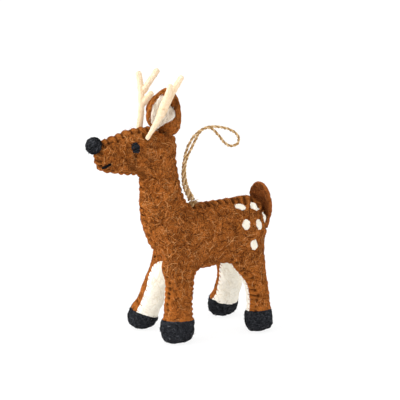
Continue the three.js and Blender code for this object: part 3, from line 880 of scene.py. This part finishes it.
def buildBody():
    # the sewn form with the number of its part on each face, and the seams as even lines
    b = bodySettings
    form = cadCopy(*panels, *stuffingNames, *hoofNames)
    mesh = largestPart(remeshed(form, b["coarse"] * mm, b["soften"]))
    print("body form:", len(mesh.polygons), "faces")
    mesh = swell(mesh)
    mesh = evaluatedMesh(mesh, ("SUBSURF", {"levels": b["fineLevels"], "render_levels": b["fineLevels"]}))
    fillOut(mesh, fullerPlaces)
    points = coords(mesh)
    inHoof, inGusset, inLeft = seamFields(mesh, b["cutRounds"])
    fields = {"hoof": inHoof + lumps(points, *b["hoofEdge"]), "gusset": inGusset, "left": inLeft}
    # the far legs stand a little further back
    back = [np.interp(points[:, 2] / mm, *zip(*b["rightLegsBack"][leg])) for leg in ("front", "hind")]
    points[:, 0] += np.where(points[:, 0] < b["frontEnds"] * mm, *back) * (points[:, 1] > midPlane) * mm
    setCoords(mesh, points)
    shape = shapeOf(mesh)
    layers = {}
    for name, values in fields.items():
        layers[name] = shape.verts.layers.float.new(name)
        for vert, value in zip(shape.verts, values):
            vert[layers[name]] = value
    for layer in layers.values():
        cutAlong(shape, layer)
    partsInside = {"hoof": hoofPart, "gusset": whitePart, "left": leftPart}
    for face in shape.faces:
        inside = [n for n, layer in layers.items() if sum(v[layer] for v in face.verts) < 0]
        face.material_index = partsInside[inside[0]] if inside else rightPart
    seams = {"middle": [], "gusset": []}
    for edge in shape.edges:
        parts = {face.material_index for face in edge.link_faces}
        if parts == {leftPart, rightPart}:
            seams["middle"].append(edge)
        elif parts in ({leftPart, whitePart}, {rightPart, whitePart}):
            seams["gusset"].append(edge)
    lines = []
    for kind, edges in seams.items():
        for line in chained(edges):
            places = np.array([v.co for v in line])
            if lengthsAlong(places)[-1] > b["shortestSeam"] * mm:
                lines.append((kind, evenPoints(places, b["seamStep"] * mm)))
    for layer in layers.values():
        shape.verts.layers.float.remove(layer)
    return written(shape, mesh), lines


# whip stitches along the middle seam and the gusset's seams, in millimetres; two numbers are a range; shades are
# painted shade in grooves, pits, seams and on the face, and the leg light is painted light on the legs
stitchSettings = {
    "softened": 12,
    "pitch": {"middle": 3.3, "gusset": 2.4, "head": 3.8},
    "pitchVaries": 0.13,
    "reach": {"middle": 3.3, "gusset": 3.8, "rump": 4.6, "white": 1.2},
    "reachVaries": (0.75, 1.12), "beside": 1.2,
    "slant": {"middle": 0.1, "gusset": 0.26, "back": -0.1},
    "slantVaries": 0.08, "strengthVaries": (0.75, 1.15), "legPits": (0.45, 1.15), "chest": 0.45, "nape": 0.75,
    "legs": 0.65, "hindRear": 0.4, "hindFrom": 30, "frontEdge": 0.55, "frontTo": -4, "grooveDepth": 1.0,
    "depthVaries": (0.55, 1.0), "headGrooves": 0.6,
    "grooveWidth": {"middle": 0.5, "gusset": 0.5, "back": 0.85},
    "grooveEnd": 0.8, "pitDepth": 1.1, "pitWidth": 0.7, "around": 1.6, "facing": -0.35,
    "grooveShade": {"middle": 1.3, "gusset": 0.9, "head": 0.8},
    "pitShade": 1.7, "bulge": 0.85,
    "bulgeWidth": {"middle": 1.7, "gusset": 2.3, "back": 2.6},
    "bulgeRound": 0.7, "bulgeOver": 4, "seamDepth": 0.3, "seamWidth": 0.4, "seamShade": 0.55,
    "seamShadeWidth": 0.35, "onWhite": 0.3, "offFloor": 0.02, "headShade": 0.16, "headShadeOver": (3, 2),
    "legLight": 0.9, "legLightDown": (34, -8), "bare": 0.5, "level": 0.35, "upward": 0.6, "rearward": 0.25,
}
# scale, height in millimetres and seed of the felt's unevenness, and of the hooves' own
roughSettings = {"felt": [(260, 0.16, 1.0), (700, 0.1, 5.0)], "hoof": (480, 0.3, 7.0)}
threadSettings = {
    "thickness": 0.42, "stops": 9, "reach": 0.92, "curve": 0.35, "offFelt": 0.08, "dive": 0.5,
    "diveFrom": 0.75, "legRadius": 0.65, "tints": (0.0, 0.3), "legTint": 0.45,
}
headLow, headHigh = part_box("head_stuffing")
# drawn-in places on both sides of the head: a line of x and z, width and depth in millimetres, and the strength of
# painted shade in the crease
tucks = [
    ([(-24.7, 90.2), (-24.5, 87.4)], 1.0, 1.0, 1.0),
    ([(-25.2, 82.6), (-22.2, 80.8), (-19.4, 79.2), (-18.6, 77)], 1.6, 0.9, 0.75),
    ([(-19.3, 97.6), (-18.6, 96.6), (-17.4, 96.6)], 1.1, 0.5, 0.9),
]
tuckStops = 24


def seamStrength(kind, place, normal):
    # legs and chest are drawn in less than the back and the head
    if kind == "gusset":
        return rng.uniform(*stitchSettings["legPits"])
    if place.z > headLow.z or abs(normal.x) < stitchSettings["level"]:
        return 1.0
    return stitchSettings["chest"] if normal.x < 0 else stitchSettings["nape"]


def seamPlace(kind, place, normal):
    # along the back, between the neck and the rump, the stitches are wider and lean the other way
    onBack = kind == "middle" and normal.z > stitchSettings["upward"] and headLow.z > place.z
    return "back" if onBack else kind


def seamCourse(kind, line):
    # how the stitches fall along a seam: one for each whole step of the phase
    s = stitchSettings
    line = softened(line, s["softened"])
    along = lengthsAlong(line)
    onHead = (line[:, 2] > headLow.z) & (kind == "middle")
    pitches = np.where(onHead, s["pitch"]["head"], s["pitch"][kind]) * mm
    phases = np.r_[0, np.cumsum(np.diff(along) / pitches[1:])]
    count = max(1, round(phases[-1]))
    phases *= count / phases[-1]
    # flatter down the back of the hind legs and the front of the front legs
    rear = s["hindRear"] if line[:, 0].min() > s["hindFrom"] * mm else 1
    fore = s["frontEdge"] if line[:, 0].max() < s["frontTo"] * mm else 1
    share = s["legs"] * rear * fore if kind == "gusset" else 1
    return {"kind": kind, "line": line, "along": along, "onHead": onHead, "pitches": pitches, "phases": phases,
            "count": count, "rear": rear, "share": share, "heading": unit(np.gradient(line, axis=0))}


def placeStitches(mesh, tree, course):
    s = stitchSettings
    kind, line, along = course["kind"], course["line"], course["along"]
    steps = np.arange(course["count"]) + 0.5 + rng.normal(0, s["pitchVaries"], course["count"])
    stitches = []
    for stop in np.interp(steps, course["phases"], along):
        i = int(np.clip(np.searchsorted(along, stop), 1, len(line) - 2))
        place, normal, _, _ = tree.find_nearest(Vector(line[i]))
        way = Vector(course["heading"][i])
        across = normal.cross(way).normalized()
        where = seamPlace(kind, place, normal)
        lean = s["slant"][where] + rng.normal(0, s["slantVaries"])
        strength = seamStrength(kind, place, normal) * math.sqrt(course["rear"]) * rng.uniform(*s["strengthVaries"])
        onRump = kind == "middle" and normal.x > s["rearward"] and place.x > s["hindFrom"] * mm
        longest = s["reach"]["rump" if onRump else kind] * (0.5 + 0.5 * strength)
        reaches = []
        for toward in (-1, 1):
            beside = tree.find_nearest(place + across * toward * s["beside"] * mm)[2]
            onWhite = mesh.polygons[beside].material_index == whitePart
            reaches.append((s["reach"]["white"] if onWhite else longest) * rng.uniform(*s["reachVaries"]) * mm)
        deep = s["grooveDepth"] * rng.uniform(*s["depthVaries"]) * course["share"]
        # each stitch's tone is the strength of the painted shade along it
        stitches.append({
            "kind": kind, "place": place, "way": way, "across": across, "normal": normal,
            "lean": lean, "reaches": reaches, "strength": strength, "width": s["grooveWidth"][where] * mm,
            "deep": deep * (s["headGrooves"] if course["onHead"][i] else 1),
            "tone": s["grooveShade"]["head" if course["onHead"][i] else kind],
        })
    return stitches


def sinkStitch(stitch, points, normals, lookup, depth, paintedShade):
    # a drawn-in line under the stitch and a pit at each of its ends, with painted shade in both
    s = stitchSettings
    place, way, across, normal = (np.array(stitch[key]) for key in ("place", "way", "across", "normal"))
    found = lookup.find_range(stitch["place"], max(stitch["reaches"]) + s["around"] * mm)
    index = np.array([f[1] for f in found])
    local = points[index] - place
    u, v, w = local @ way, local @ across, local @ normal
    arc = np.sqrt(v ** 2 + w ** 2)
    facing = (normals[index] @ normal) > s["facing"]
    off = u - stitch["lean"] * v
    reach = np.where(v > 0, stitch["reaches"][1], stitch["reaches"][0])
    line = hump(off, stitch["width"]) * np.clip((reach - arc) / (s["grooveEnd"] * mm), 0, 1)
    pit = np.exp(-(off / (s["pitWidth"] * mm)) ** 2 - ((arc - reach) / (s["pitWidth"] * mm)) ** 2)
    sink = np.maximum(line * stitch["deep"], pit * s["pitDepth"] * stitch["strength"]) * facing * mm
    depth[index] = np.maximum(depth[index], sink)
    stitchShade = np.maximum(line * stitch["tone"], pit * s["pitShade"]) * facing * stitch["strength"]
    paintedShade[index] = np.maximum(paintedShade[index], np.clip(stitchShade, 0, 1))


def raiseLobes(courses, tree, points, depth, paintedShade):
    # the felt swells between the stitches and is drawn in along the seam, with painted shade along it; returns how
    # far it swells, as the share of a painted highlight on the lobes
    s = stitchSettings
    near = KDTree(sum(len(course["line"]) for course in courses))
    stops = []
    for course in courses:
        rows = zip(course["line"], course["heading"], course["phases"], course["pitches"])
        for p, way, phase, pitch in rows:
            place, normal, _, _ = tree.find_nearest(Vector(p))
            near.insert(Vector(p), len(stops))
            where = seamPlace(course["kind"], place, normal)
            stops.append((phase, normal.cross(Vector(way)), s["slant"][where] / pitch,
                          s["bulge"] * course["share"], s["bulgeWidth"][where] * mm))
    near.balance()
    paintedLight = np.zeros(len(points))
    for i, p in enumerate(points):
        spot, stop, gap = near.find(Vector(p))
        if gap < s["bulgeOver"] * mm:
            phase, across, lean, high, wide = stops[stop]
            aside = math.copysign(gap, (Vector(p) - spot).dot(across))
            swing = abs(math.cos(math.pi * (phase - lean * aside))) ** s["bulgeRound"]
            rise = high * swing * math.exp(-(gap / wide) ** 2)
            paintedLight[i] = rise / s["bulge"]
            crease = s["seamDepth"] * math.exp(-(gap / (s["seamWidth"] * mm)) ** 2)
            depth[i] += (crease - rise) * mm
            paintedShade[i] = max(paintedShade[i], s["seamShade"] * math.exp(-(gap / (s["seamShadeWidth"] * mm)) ** 2))
    return paintedLight


def sewBody(mesh, lines):
    # draws the felt in at its stitches, seams and tucks and paints shade into them; returns the stitches
    s = stitchSettings
    points, normals = coords(mesh), vertexNormals(mesh)
    depth, paintedShade, isWhite, isHoof = np.zeros((4, len(points)))
    for face in mesh.polygons:
        if face.material_index == whitePart:
            isWhite[list(face.vertices)] = 1
        elif face.material_index == hoofPart:
            isHoof[list(face.vertices)] = 1
    tree = surfaceTree(mesh)
    lookup = KDTree(len(points))
    for i, p in enumerate(points):
        lookup.insert(Vector(p), i)
    lookup.balance()
    courses = [seamCourse(kind, line) for kind, line in lines]
    stitches = [stitch for course in courses for stitch in placeStitches(mesh, tree, course)]
    for stitch in stitches:
        sinkStitch(stitch, points, normals, lookup, depth, paintedShade)
    paintedLight = raiseLobes(courses, tree, points, depth, paintedShade)
    for line, width, deep, dark in tucks:
        ends = np.array(line)
        route = resampled(ends, np.linspace(0, len(ends) - 1, tuckStops), np.arange(len(ends)))
        gap = np.linalg.norm(points[:, None, [0, 2]] / mm - route[None], axis=2).min(1)
        share = hump(gap, width)
        depth += share * deep * mm
        paintedShade = np.maximum(paintedShade, share * dark)
    # shallower grooves and lighter painted shade on the white gusset
    softness = 1 - (1 - s["onWhite"]) * evenOut(mesh, isWhite, 2)
    depth, paintedShade = depth * softness, paintedShade * softness
    rough = sum(lumps(points, *row) for row in roughSettings["felt"])
    rough += isHoof * lumps(points, *roughSettings["hoof"])
    placed = points + normals * (rough - depth)[:, None]
    placed[:, 2] = np.maximum(placed[:, 2], s["offFloor"] * mm)
    setCoords(mesh, placed)
    # painted shade makes the face a little darker, painted light makes the legs lighter
    overX, overZ = (over * mm for over in s["headShadeOver"])
    headShadeShare = 1 / (1 + np.exp((points[:, 0] - headLow.x - 0.5 * (headHigh.x - headLow.x)) / overX))
    headShadeShare *= 1 / (1 + np.exp((headLow.z - points[:, 2]) / overZ))
    setAttribute(mesh, "paintedShade", np.clip(paintedShade + s["headShade"] * headShadeShare, 0, 1))
    setAttribute(mesh, "paintedLight", paintedLight + s["legLight"] * ramp(points[:, 2] / mm, *s["legLightDown"]))
    return stitches


def addStitches(tree, stitches):
    # the sewing thread, with its ends in the felt
    s = threadSettings
    lines = []
    for stitch in stitches:
        line = []
        for v in np.linspace(-1, 1, s["stops"]):
            reach = stitch["reaches"][1 if v > 0 else 0] * s["reach"]
            slanted = stitch["across"] + stitch["way"] * stitch["lean"]
            spot = stitch["place"] + slanted * v * reach - stitch["normal"] * (v * v * reach * s["curve"])
            place, normal, _, _ = tree.find_nearest(spot)
            sink = s["offFelt"] - s["dive"] * max(0, abs(v) - s["diveFrom"]) / (1 - s["diveFrom"])
            line.append(place + normal * sink * mm)
        lines.append(np.array(line))
    onLeg = np.array([stitch["kind"] == "gusset" for stitch in stitches])
    radii = [np.full(s["stops"], s["legRadius"] if leg else 1.0) for leg in onLeg]
    tints = rng.uniform(*s["tints"], len(stitches)) + s["legTint"] * onLeg
    mesh = threads("seamStitches", lines, s["thickness"] * mm, 1, radii, tints)
    addPiece("seamStitches", mesh, "deer", fibres["brown"])


def keptFaces(mesh, name, keep):
    # the faces for which keep says so, as a mesh of their own
    shape = shapeOf(mesh)
    bmesh.ops.delete(shape, geom=[f for f in shape.faces if not keep(f)], context="FACES")
    for face in shape.faces:
        face.material_index = 0
    return written(shape, name)


def thicken(piece):
    addModifier(piece, "feltThickness", "SOLIDIFY", thickness=bodySettings["feltThickness"] * mm, offset=-1,
                use_rim=True)


bodyMesh, seamLines = buildBody()
seamLength = sum(lengthsAlong(line)[-1] for _, line in seamLines)
print("body cut at", len(seamLines), "seams,", round(seamLength / mm), "mm long")
bodyStitches = sewBody(bodyMesh, seamLines)
bodyTree = surfaceTree(bodyMesh)
bodyParts = np.array([face.material_index for face in bodyMesh.polygons])
# the painted shade is strong where the felt is drawn in
grooves = pulled(bodyMesh.attributes["paintedShade"].data, "value", 1)[:, 0]
sunken = [grooves[list(face.vertices)].mean() > stitchSettings["bare"] for face in bodyMesh.polygons]
openParts = np.where(sunken, groovePart, bodyParts)  # fibres keep off the grooves
for part, (node, (felt, count, inner)) in enumerate(panels.items()):
    name = camelName(node)
    mesh = keptFaces(bodyMesh, name, lambda face: face.material_index == part)
    ends = {"stray": 0} if part == whitePart else {}
    thicken(addFelted(name, mesh, felt, [node, *inner], bodySettings["padding"], count, fuzzSettings["body"] | ends,
                      tree=bodyTree, faceParts=openParts, own=part))
    hairMesh = fuzz(name + "Hairs", mesh, count // bodySettings["hairShare"], fuzzSettings["hairs"] | ends,
                    bodyTree, bodyParts, part, bodySettings["hairSpans"])
    addPiece(name + "Hairs", hairMesh, "deer", fibres[felt])
    print(name, len(mesh.polygons), "faces,", count, "fibres")
addStitches(bodyTree, bodyStitches)
print(len(bodyStitches), "seam stitches")

hoofSettings = {"within": 12, "fuzz": 650, "padding": 0.9}
for node in hoofNames:
    middle = boxMiddle(node)
    mesh = keptFaces(bodyMesh, node, lambda face: face.material_index == hoofPart and (
        face.calc_center_median() - middle).length <= hoofSettings["within"] * mm)
    thicken(addFelted(camelName(node), mesh, "black", [node], hoofSettings["padding"], hoofSettings["fuzz"],
                      fuzzSettings["hoof"], tree=bodyTree, faceParts=bodyParts, own=hoofPart))
print("four hooves are made")

# pieces that keep the form of their solids, softened and felted
softSettings = table(("voxel", "smooth", "rough", "fuzz", "fibres", "felt", "padding"), {
    "ear": (0.45, 5, 0.14, 700, "small", "brown", 0.2),
    "lining": (0.4, 3, 0.12, 900, "lining", "lining", 0.2),
    "antler": (0.3, 5, 0.14, 520, "small", "cream", 0.9),
    "tail": (0.5, 4, 0.18, 650, "small", "darkBrown", 0.4),
    "nose": (0.4, 3, 0.2, 420, "hoof", "black", 1.0),
})
# scale, share and seed of their unevenness
softLumps = ((420, 1.0, 2.0), (1100, 0.5, 4.0))


def softPiece(name, kind, cadNames, shape=None, paint=None):
    s = softSettings[kind]
    mesh = remeshed(cadCopy(*cadNames), s["voxel"] * mm, s["smooth"])
    points = coords(mesh)
    if shape:
        points = shape(points)
        setCoords(mesh, points)
    rough = sum(lumps(points, scale, s["rough"] * share, seed) for scale, share, seed in softLumps)
    setCoords(mesh, points + vertexNormals(mesh) * rough[:, None])
    setAttribute(mesh, "paintedShade", np.zeros(len(points)))
    if paint:
        paint(mesh)
    comb = leafAxes(points)[1] if kind == "lining" else None
    addFelted(name, mesh, s["felt"], cadNames, s["padding"], s["fuzz"], fuzzSettings[s["fibres"]], comb=comb)


def leafAxes(points):
    # middle, tall and wide directions of a leaf-like piece; wide points right in the photograph
    middle = points.mean(0)
    tall, wide, flat = np.linalg.svd(points - middle, full_matrices=False)[2]
    return middle, tall * np.sign(tall[2]), wide * np.sign(wide @ np.array(viewRight)), flat


def leafPlaces(points):
    # share of the height from the base, and of the half width from the middle
    middle, tall, wide, _ = leafAxes(points)
    up, across = (points - middle) @ tall, (points - middle) @ wide
    return (up - up.min()) / np.ptp(up), across / np.abs(across).max()


# ears lean back and their front edge pulls in, in millimetres; painted shade of the folds and widths by shares of
# the leaf
earSettings = {
    "lean": 0.4, "pulledIn": 1.3, "leanFrom": 0.3, "tipFold": ((0.7, 0.14), (0.6, 0.22), 1.0),
    "baseFold": ((0.08, 0.12), (-0.1, 0.35), 0.8),
    "liningWidths": ((0, 0.5, 0.62, 0.74, 1), (0.35, 1, 0.96, 0.76, 0.82)), "liningLower": 2.2,
    "lowerFrom": (0.4, 0.6),
}


def taperLining(points, earTree):
    # the lower end runs out on one side, still at its height over the ear
    s = earSettings
    along, across = leafPlaces(points)
    middle, tall, wide, _ = leafAxes(points)
    half = np.abs((points - middle) @ wide).max()
    kept = np.interp(along, *s["liningWidths"])
    aside = ((across + 1) * kept - 1 - across)[:, None] * half * wide
    lower = ramp(along, *s["lowerFrom"])[:, None] * tall * s["liningLower"] * mm
    placed = []
    for p, shift in zip(points, aside - lower):
        start = earTree.find_nearest(Vector(p))
        end = earTree.find_nearest(Vector(p + shift))
        placed.append(end[0] + end[1] * (Vector(p) - start[0]).dot(start[1]))
    return np.array(placed)


def nudgeEar(points, ear):
    s = earSettings
    middle, tall, wide, _ = leafAxes(ear)
    rows = (ear - middle) @ tall
    along = ((points - middle) @ tall - rows.min()) / np.ptp(rows)
    across = (points - middle) @ wide / np.abs((ear - middle) @ wide).max()
    shift = s["lean"] * np.clip(along / s["leanFrom"], 0, 1)
    shift += s["pulledIn"] * np.clip(-across, 0, 1) * np.clip(along / s["leanFrom"] - 1, 0, 1)
    return points + shift[:, None] * wide * mm


def paintEar(mesh):
    # painted shade in the folds near the tip, on the right, and at the base
    along, across = leafPlaces(coords(mesh))
    folds = []
    for fold in ("tipFold", "baseFold"):
        (high, tall), (aside, wide), dark = earSettings[fold]
        folds.append(dark * np.exp(-((along - high) / tall) ** 2 - ((across - aside) / wide) ** 2))
    setAttribute(mesh, "paintedShade", np.maximum(*folds))


# lean of each antler at its foot and top, its fuller fork and slimmer foot, in millimetres
antlerSettings = {
    "left": {"lean": (-1.5, 0), "places": [((-12.4, -13.5, 112), 5, 0.9), ((-18, -7.5, 99), 4, -0.4)]},
    "right": {"lean": (0, 0.8), "places": []},
}


def leanAntler(points, foot, top):
    share = (points[:, 2] - points[:, 2].min()) / np.ptp(points[:, 2])
    points[:, 0] += (foot * (1 - share) ** 2 + top * share) * mm
    return points


# tail: narrower below and wider above its middle in millimetres, a painted highlight on its edges round a painted
# shade on its middle
tailSettings = {
    "narrowed": 1.3, "narrowedBelow": 0.42, "widened": 0.5, "widenedAt": (0.62, 0.25), "rim": (1.7, 2.2, 2.4),
    "deep": (0.75, 1.2),
}


def narrowTail(points):
    s = tailSettings
    along, across = leafPlaces(points)
    points[:, 0] -= s["narrowed"] * np.clip(1 - along / s["narrowedBelow"], 0, 1) * mm
    middle, width = s["widenedAt"]
    points[:, 0] += s["widened"] * np.clip(across, 0, 1) * hump(along - middle, width) * mm
    return points


def paintTail(mesh):
    # edges that face aside get the painted highlight, the broad faces the painted shade
    facing = np.abs(vertexNormals(mesh) @ leafAxes(coords(mesh))[3])
    start, slope, strength = tailSettings["rim"]
    setAttribute(mesh, "paintedLight", np.clip(start - slope * facing, 0, 1) * strength)
    start, strength = tailSettings["deep"]
    setAttribute(mesh, "paintedShade", np.clip(facing - start, 0, 1) * strength)


for side, antler in antlerSettings.items():
    earMesh = cadCopy(side + "_ear")
    earTree, earPoints = surfaceTree(earMesh), coords(earMesh)
    softPiece(side + "Ear", "ear", [side + "_ear"], lambda points: nudgeEar(points, earPoints), paintEar)
    softPiece(side + "EarLining", "lining", [side + "_ear_lining"],
              lambda points: nudgeEar(taperLining(points, earTree), earPoints))
    antlerNames = [side + "_antler_" + part for part in ("beam", "upper_tine", "lower_tine")]
    softPiece(side + "Antler", "antler", antlerNames, lambda points: leanAntler(points, *antler["lean"]),
              lambda mesh: fillOut(mesh, antler["places"]))
softPiece("feltTail", "tail", ["tail"], narrowTail, paintTail)
softPiece("feltNose", "nose", ["nose"])
print("ears, antlers, tail and nose are made")

# mouth: one thread laid round the muzzle, on the felt where it is shown and in it beyond
mouthSettings = {
    "thickness": 1.3, "stops": 24, "step": 0.5, "shown": 5.4, "sunk": 1.3, "sunkOver": 1.2, "offFelt": 0.2,
    "drop": 1.1, "back": 0.5, "softened": (8, 2), "thinEnd": 0.35, "thinOver": 3, "tint": 0.2,
}


def buildMouth():
    s = mouthSettings
    points = coords(cadCopy("mouth_thread"))
    turn = np.arctan2(points[:, 1] - midPlane, (headLow.z + headHigh.z) / 2 - points[:, 2])
    edges = np.linspace(turn.min(), turn.max(), s["stops"] + 1)
    inside = [(turn >= first) & (turn <= last) for first, last in zip(edges[:-1], edges[1:])]
    middles = np.array([points[chosen].mean(0) for chosen in inside if chosen.any()])
    line = softened(evenPoints(middles, s["step"] * mm), s["softened"][0])
    along = lengthsAlong(line)
    laid = []
    for p, near in zip(line, np.minimum(along, along[-1] - along) / mm):
        share = max(0, 1 - near / s["shown"]) * mm
        found = bodyTree.find_nearest(Vector(p) + Vector((s["back"], 0, -s["drop"])) * share)
        dive = ramp(near, s["shown"], s["sunkOver"])
        laid.append(found[0] + found[1] * (s["offFelt"] - s["sunk"] * dive) * mm)
    laid = softened(np.array(laid), s["softened"][1])
    fromEnd = np.minimum(np.arange(len(laid)), np.arange(len(laid))[::-1])
    taper = np.minimum(1, fromEnd / s["thinOver"] + s["thinEnd"])
    mesh = threads("mouthThread", [laid], s["thickness"] * mm, 2, [taper], [s["tint"]])
    addPiece("mouthThread", mesh, "deer", fibres["black"], ["mouth_thread"])


# satin-stitched eyes: threads laid side by side over a dome
eyeSettings = {
    "threads": 12, "stops": 9, "thickness": 0.5, "dome": 0.75, "domeFall": (0.7, 0.8), "sunk": 0.25,
    "halfWide": 2.0, "halfTall": 2.6, "leastSquare": 0.04, "back": 0.45, "up": (-0.2, 0, 1),
    "wavy": 0.16, "waves": 3, "tints": (0.05, 0.72),
}


def buildEye(side):
    s = eyeSettings
    place, normal, _, _ = bodyTree.find_nearest(boxMiddle(side + "_eye") + Vector((s["back"] * mm, 0, 0)))
    tall = flattened(Vector(s["up"]), normal)
    wide = normal.cross(tall)
    lines = []
    for i in range(s["threads"]):
        share = 2 * (i + 0.5) / s["threads"] - 1
        half = math.sqrt(max(s["leastSquare"], 1 - share * share))
        line = []
        for step in np.linspace(-1, 1, s["stops"]):
            across = step * half * s["halfWide"] * mm
            upward = share * s["halfTall"] * mm + s["wavy"] * mm * math.sin(s["waves"] * step + i)
            fall = 1 - share ** 2 * s["domeFall"][0] - (step * half) ** 2 * s["domeFall"][1]
            bulge = s["dome"] * math.sqrt(max(0, fall)) - s["sunk"]
            spot = bodyTree.find_nearest(place + wide * across + tall * upward)
            line.append(spot[0] + normal * bulge * mm)
        lines.append(np.array(line))
    radii = [np.ones(s["stops"])] * len(lines)
    mesh = threads(side + "Eye", lines, s["thickness"] * mm, 2, radii, rng.uniform(*s["tints"], len(lines)))
    addPiece(side + "Eye", mesh, "deer", fibres["black"], [side + "_eye"])


# felt spots that lie on the sewn body: half width, half height in millimetres and tilt of each
spotSettings = {
    "around": 32, "rows": 16, "thickness": 0.55, "sunk": 0.12, "fuzz": 120,
    "ragged": 0.3, "raggedScale": 1.8, "raggedShift": 3.7,
    "shapes": [(2.7, 1.8, -30), (2.55, 1.7, -54), (2.2, 2.65, 0), (2, 2.25, -10), (1.8, 2.4, 12), (2, 2.4, 0)],
}


def rowOrder(place):
    # rises from row to row of a sphere, and round each row
    return round(place.z, 3) * 1000 + math.atan2(place.y, place.x)


def buildSpot(side, number):
    s = spotSettings
    node = f"{side}_spot_{number}"
    place, normal, _, _ = bodyTree.find_nearest(boxMiddle(node))
    wide = flattened(Vector((1, 0, 0)), normal)
    tall = normal.cross(wide) if normal.cross(wide).z > 0 else wide.cross(normal)
    halfWide, halfTall, tilt = s["shapes"][number - 1]
    turn = math.radians(tilt)
    first = wide * math.cos(turn) + tall * math.sin(turn)
    second = tall * math.cos(turn) - wide * math.sin(turn)
    shape = bmesh.new()
    bmesh.ops.create_uvsphere(shape, u_segments=s["around"], v_segments=s["rows"], radius=1)
    # the operator lists its points and faces in another order each time
    shape.verts.sort(key=lambda vert: rowOrder(vert.co))
    shape.faces.sort(key=lambda face: rowOrder(face.calc_center_median()))
    for vert in shape.verts:
        x, y, z = vert.co
        angle = math.atan2(y, x)
        ring = Vector((math.cos(angle) * s["raggedScale"], math.sin(angle) * s["raggedScale"],
                       number * s["raggedShift"]))
        edge = 1 + s["ragged"] * noise.noise(ring)
        found = bodyTree.find_nearest(place + (first * x * halfWide + second * y * halfTall) * edge * mm)
        vert.co = found[0] + found[1] * (z * s["thickness"] - s["sunk"]) * mm
    mesh = written(shape, node)
    setAttribute(mesh, "paintedShade", np.zeros(len(mesh.vertices)))
    addFelted(camelName(node), mesh, "white", [node], None, s["fuzz"], fuzzSettings["small"])


buildMouth()
for side in ("left", "right"):
    buildEye(side)
    for number in range(1, len(spotSettings["shapes"]) + 1):
        buildSpot(side, number)
print("mouth, eyes and spots are made")
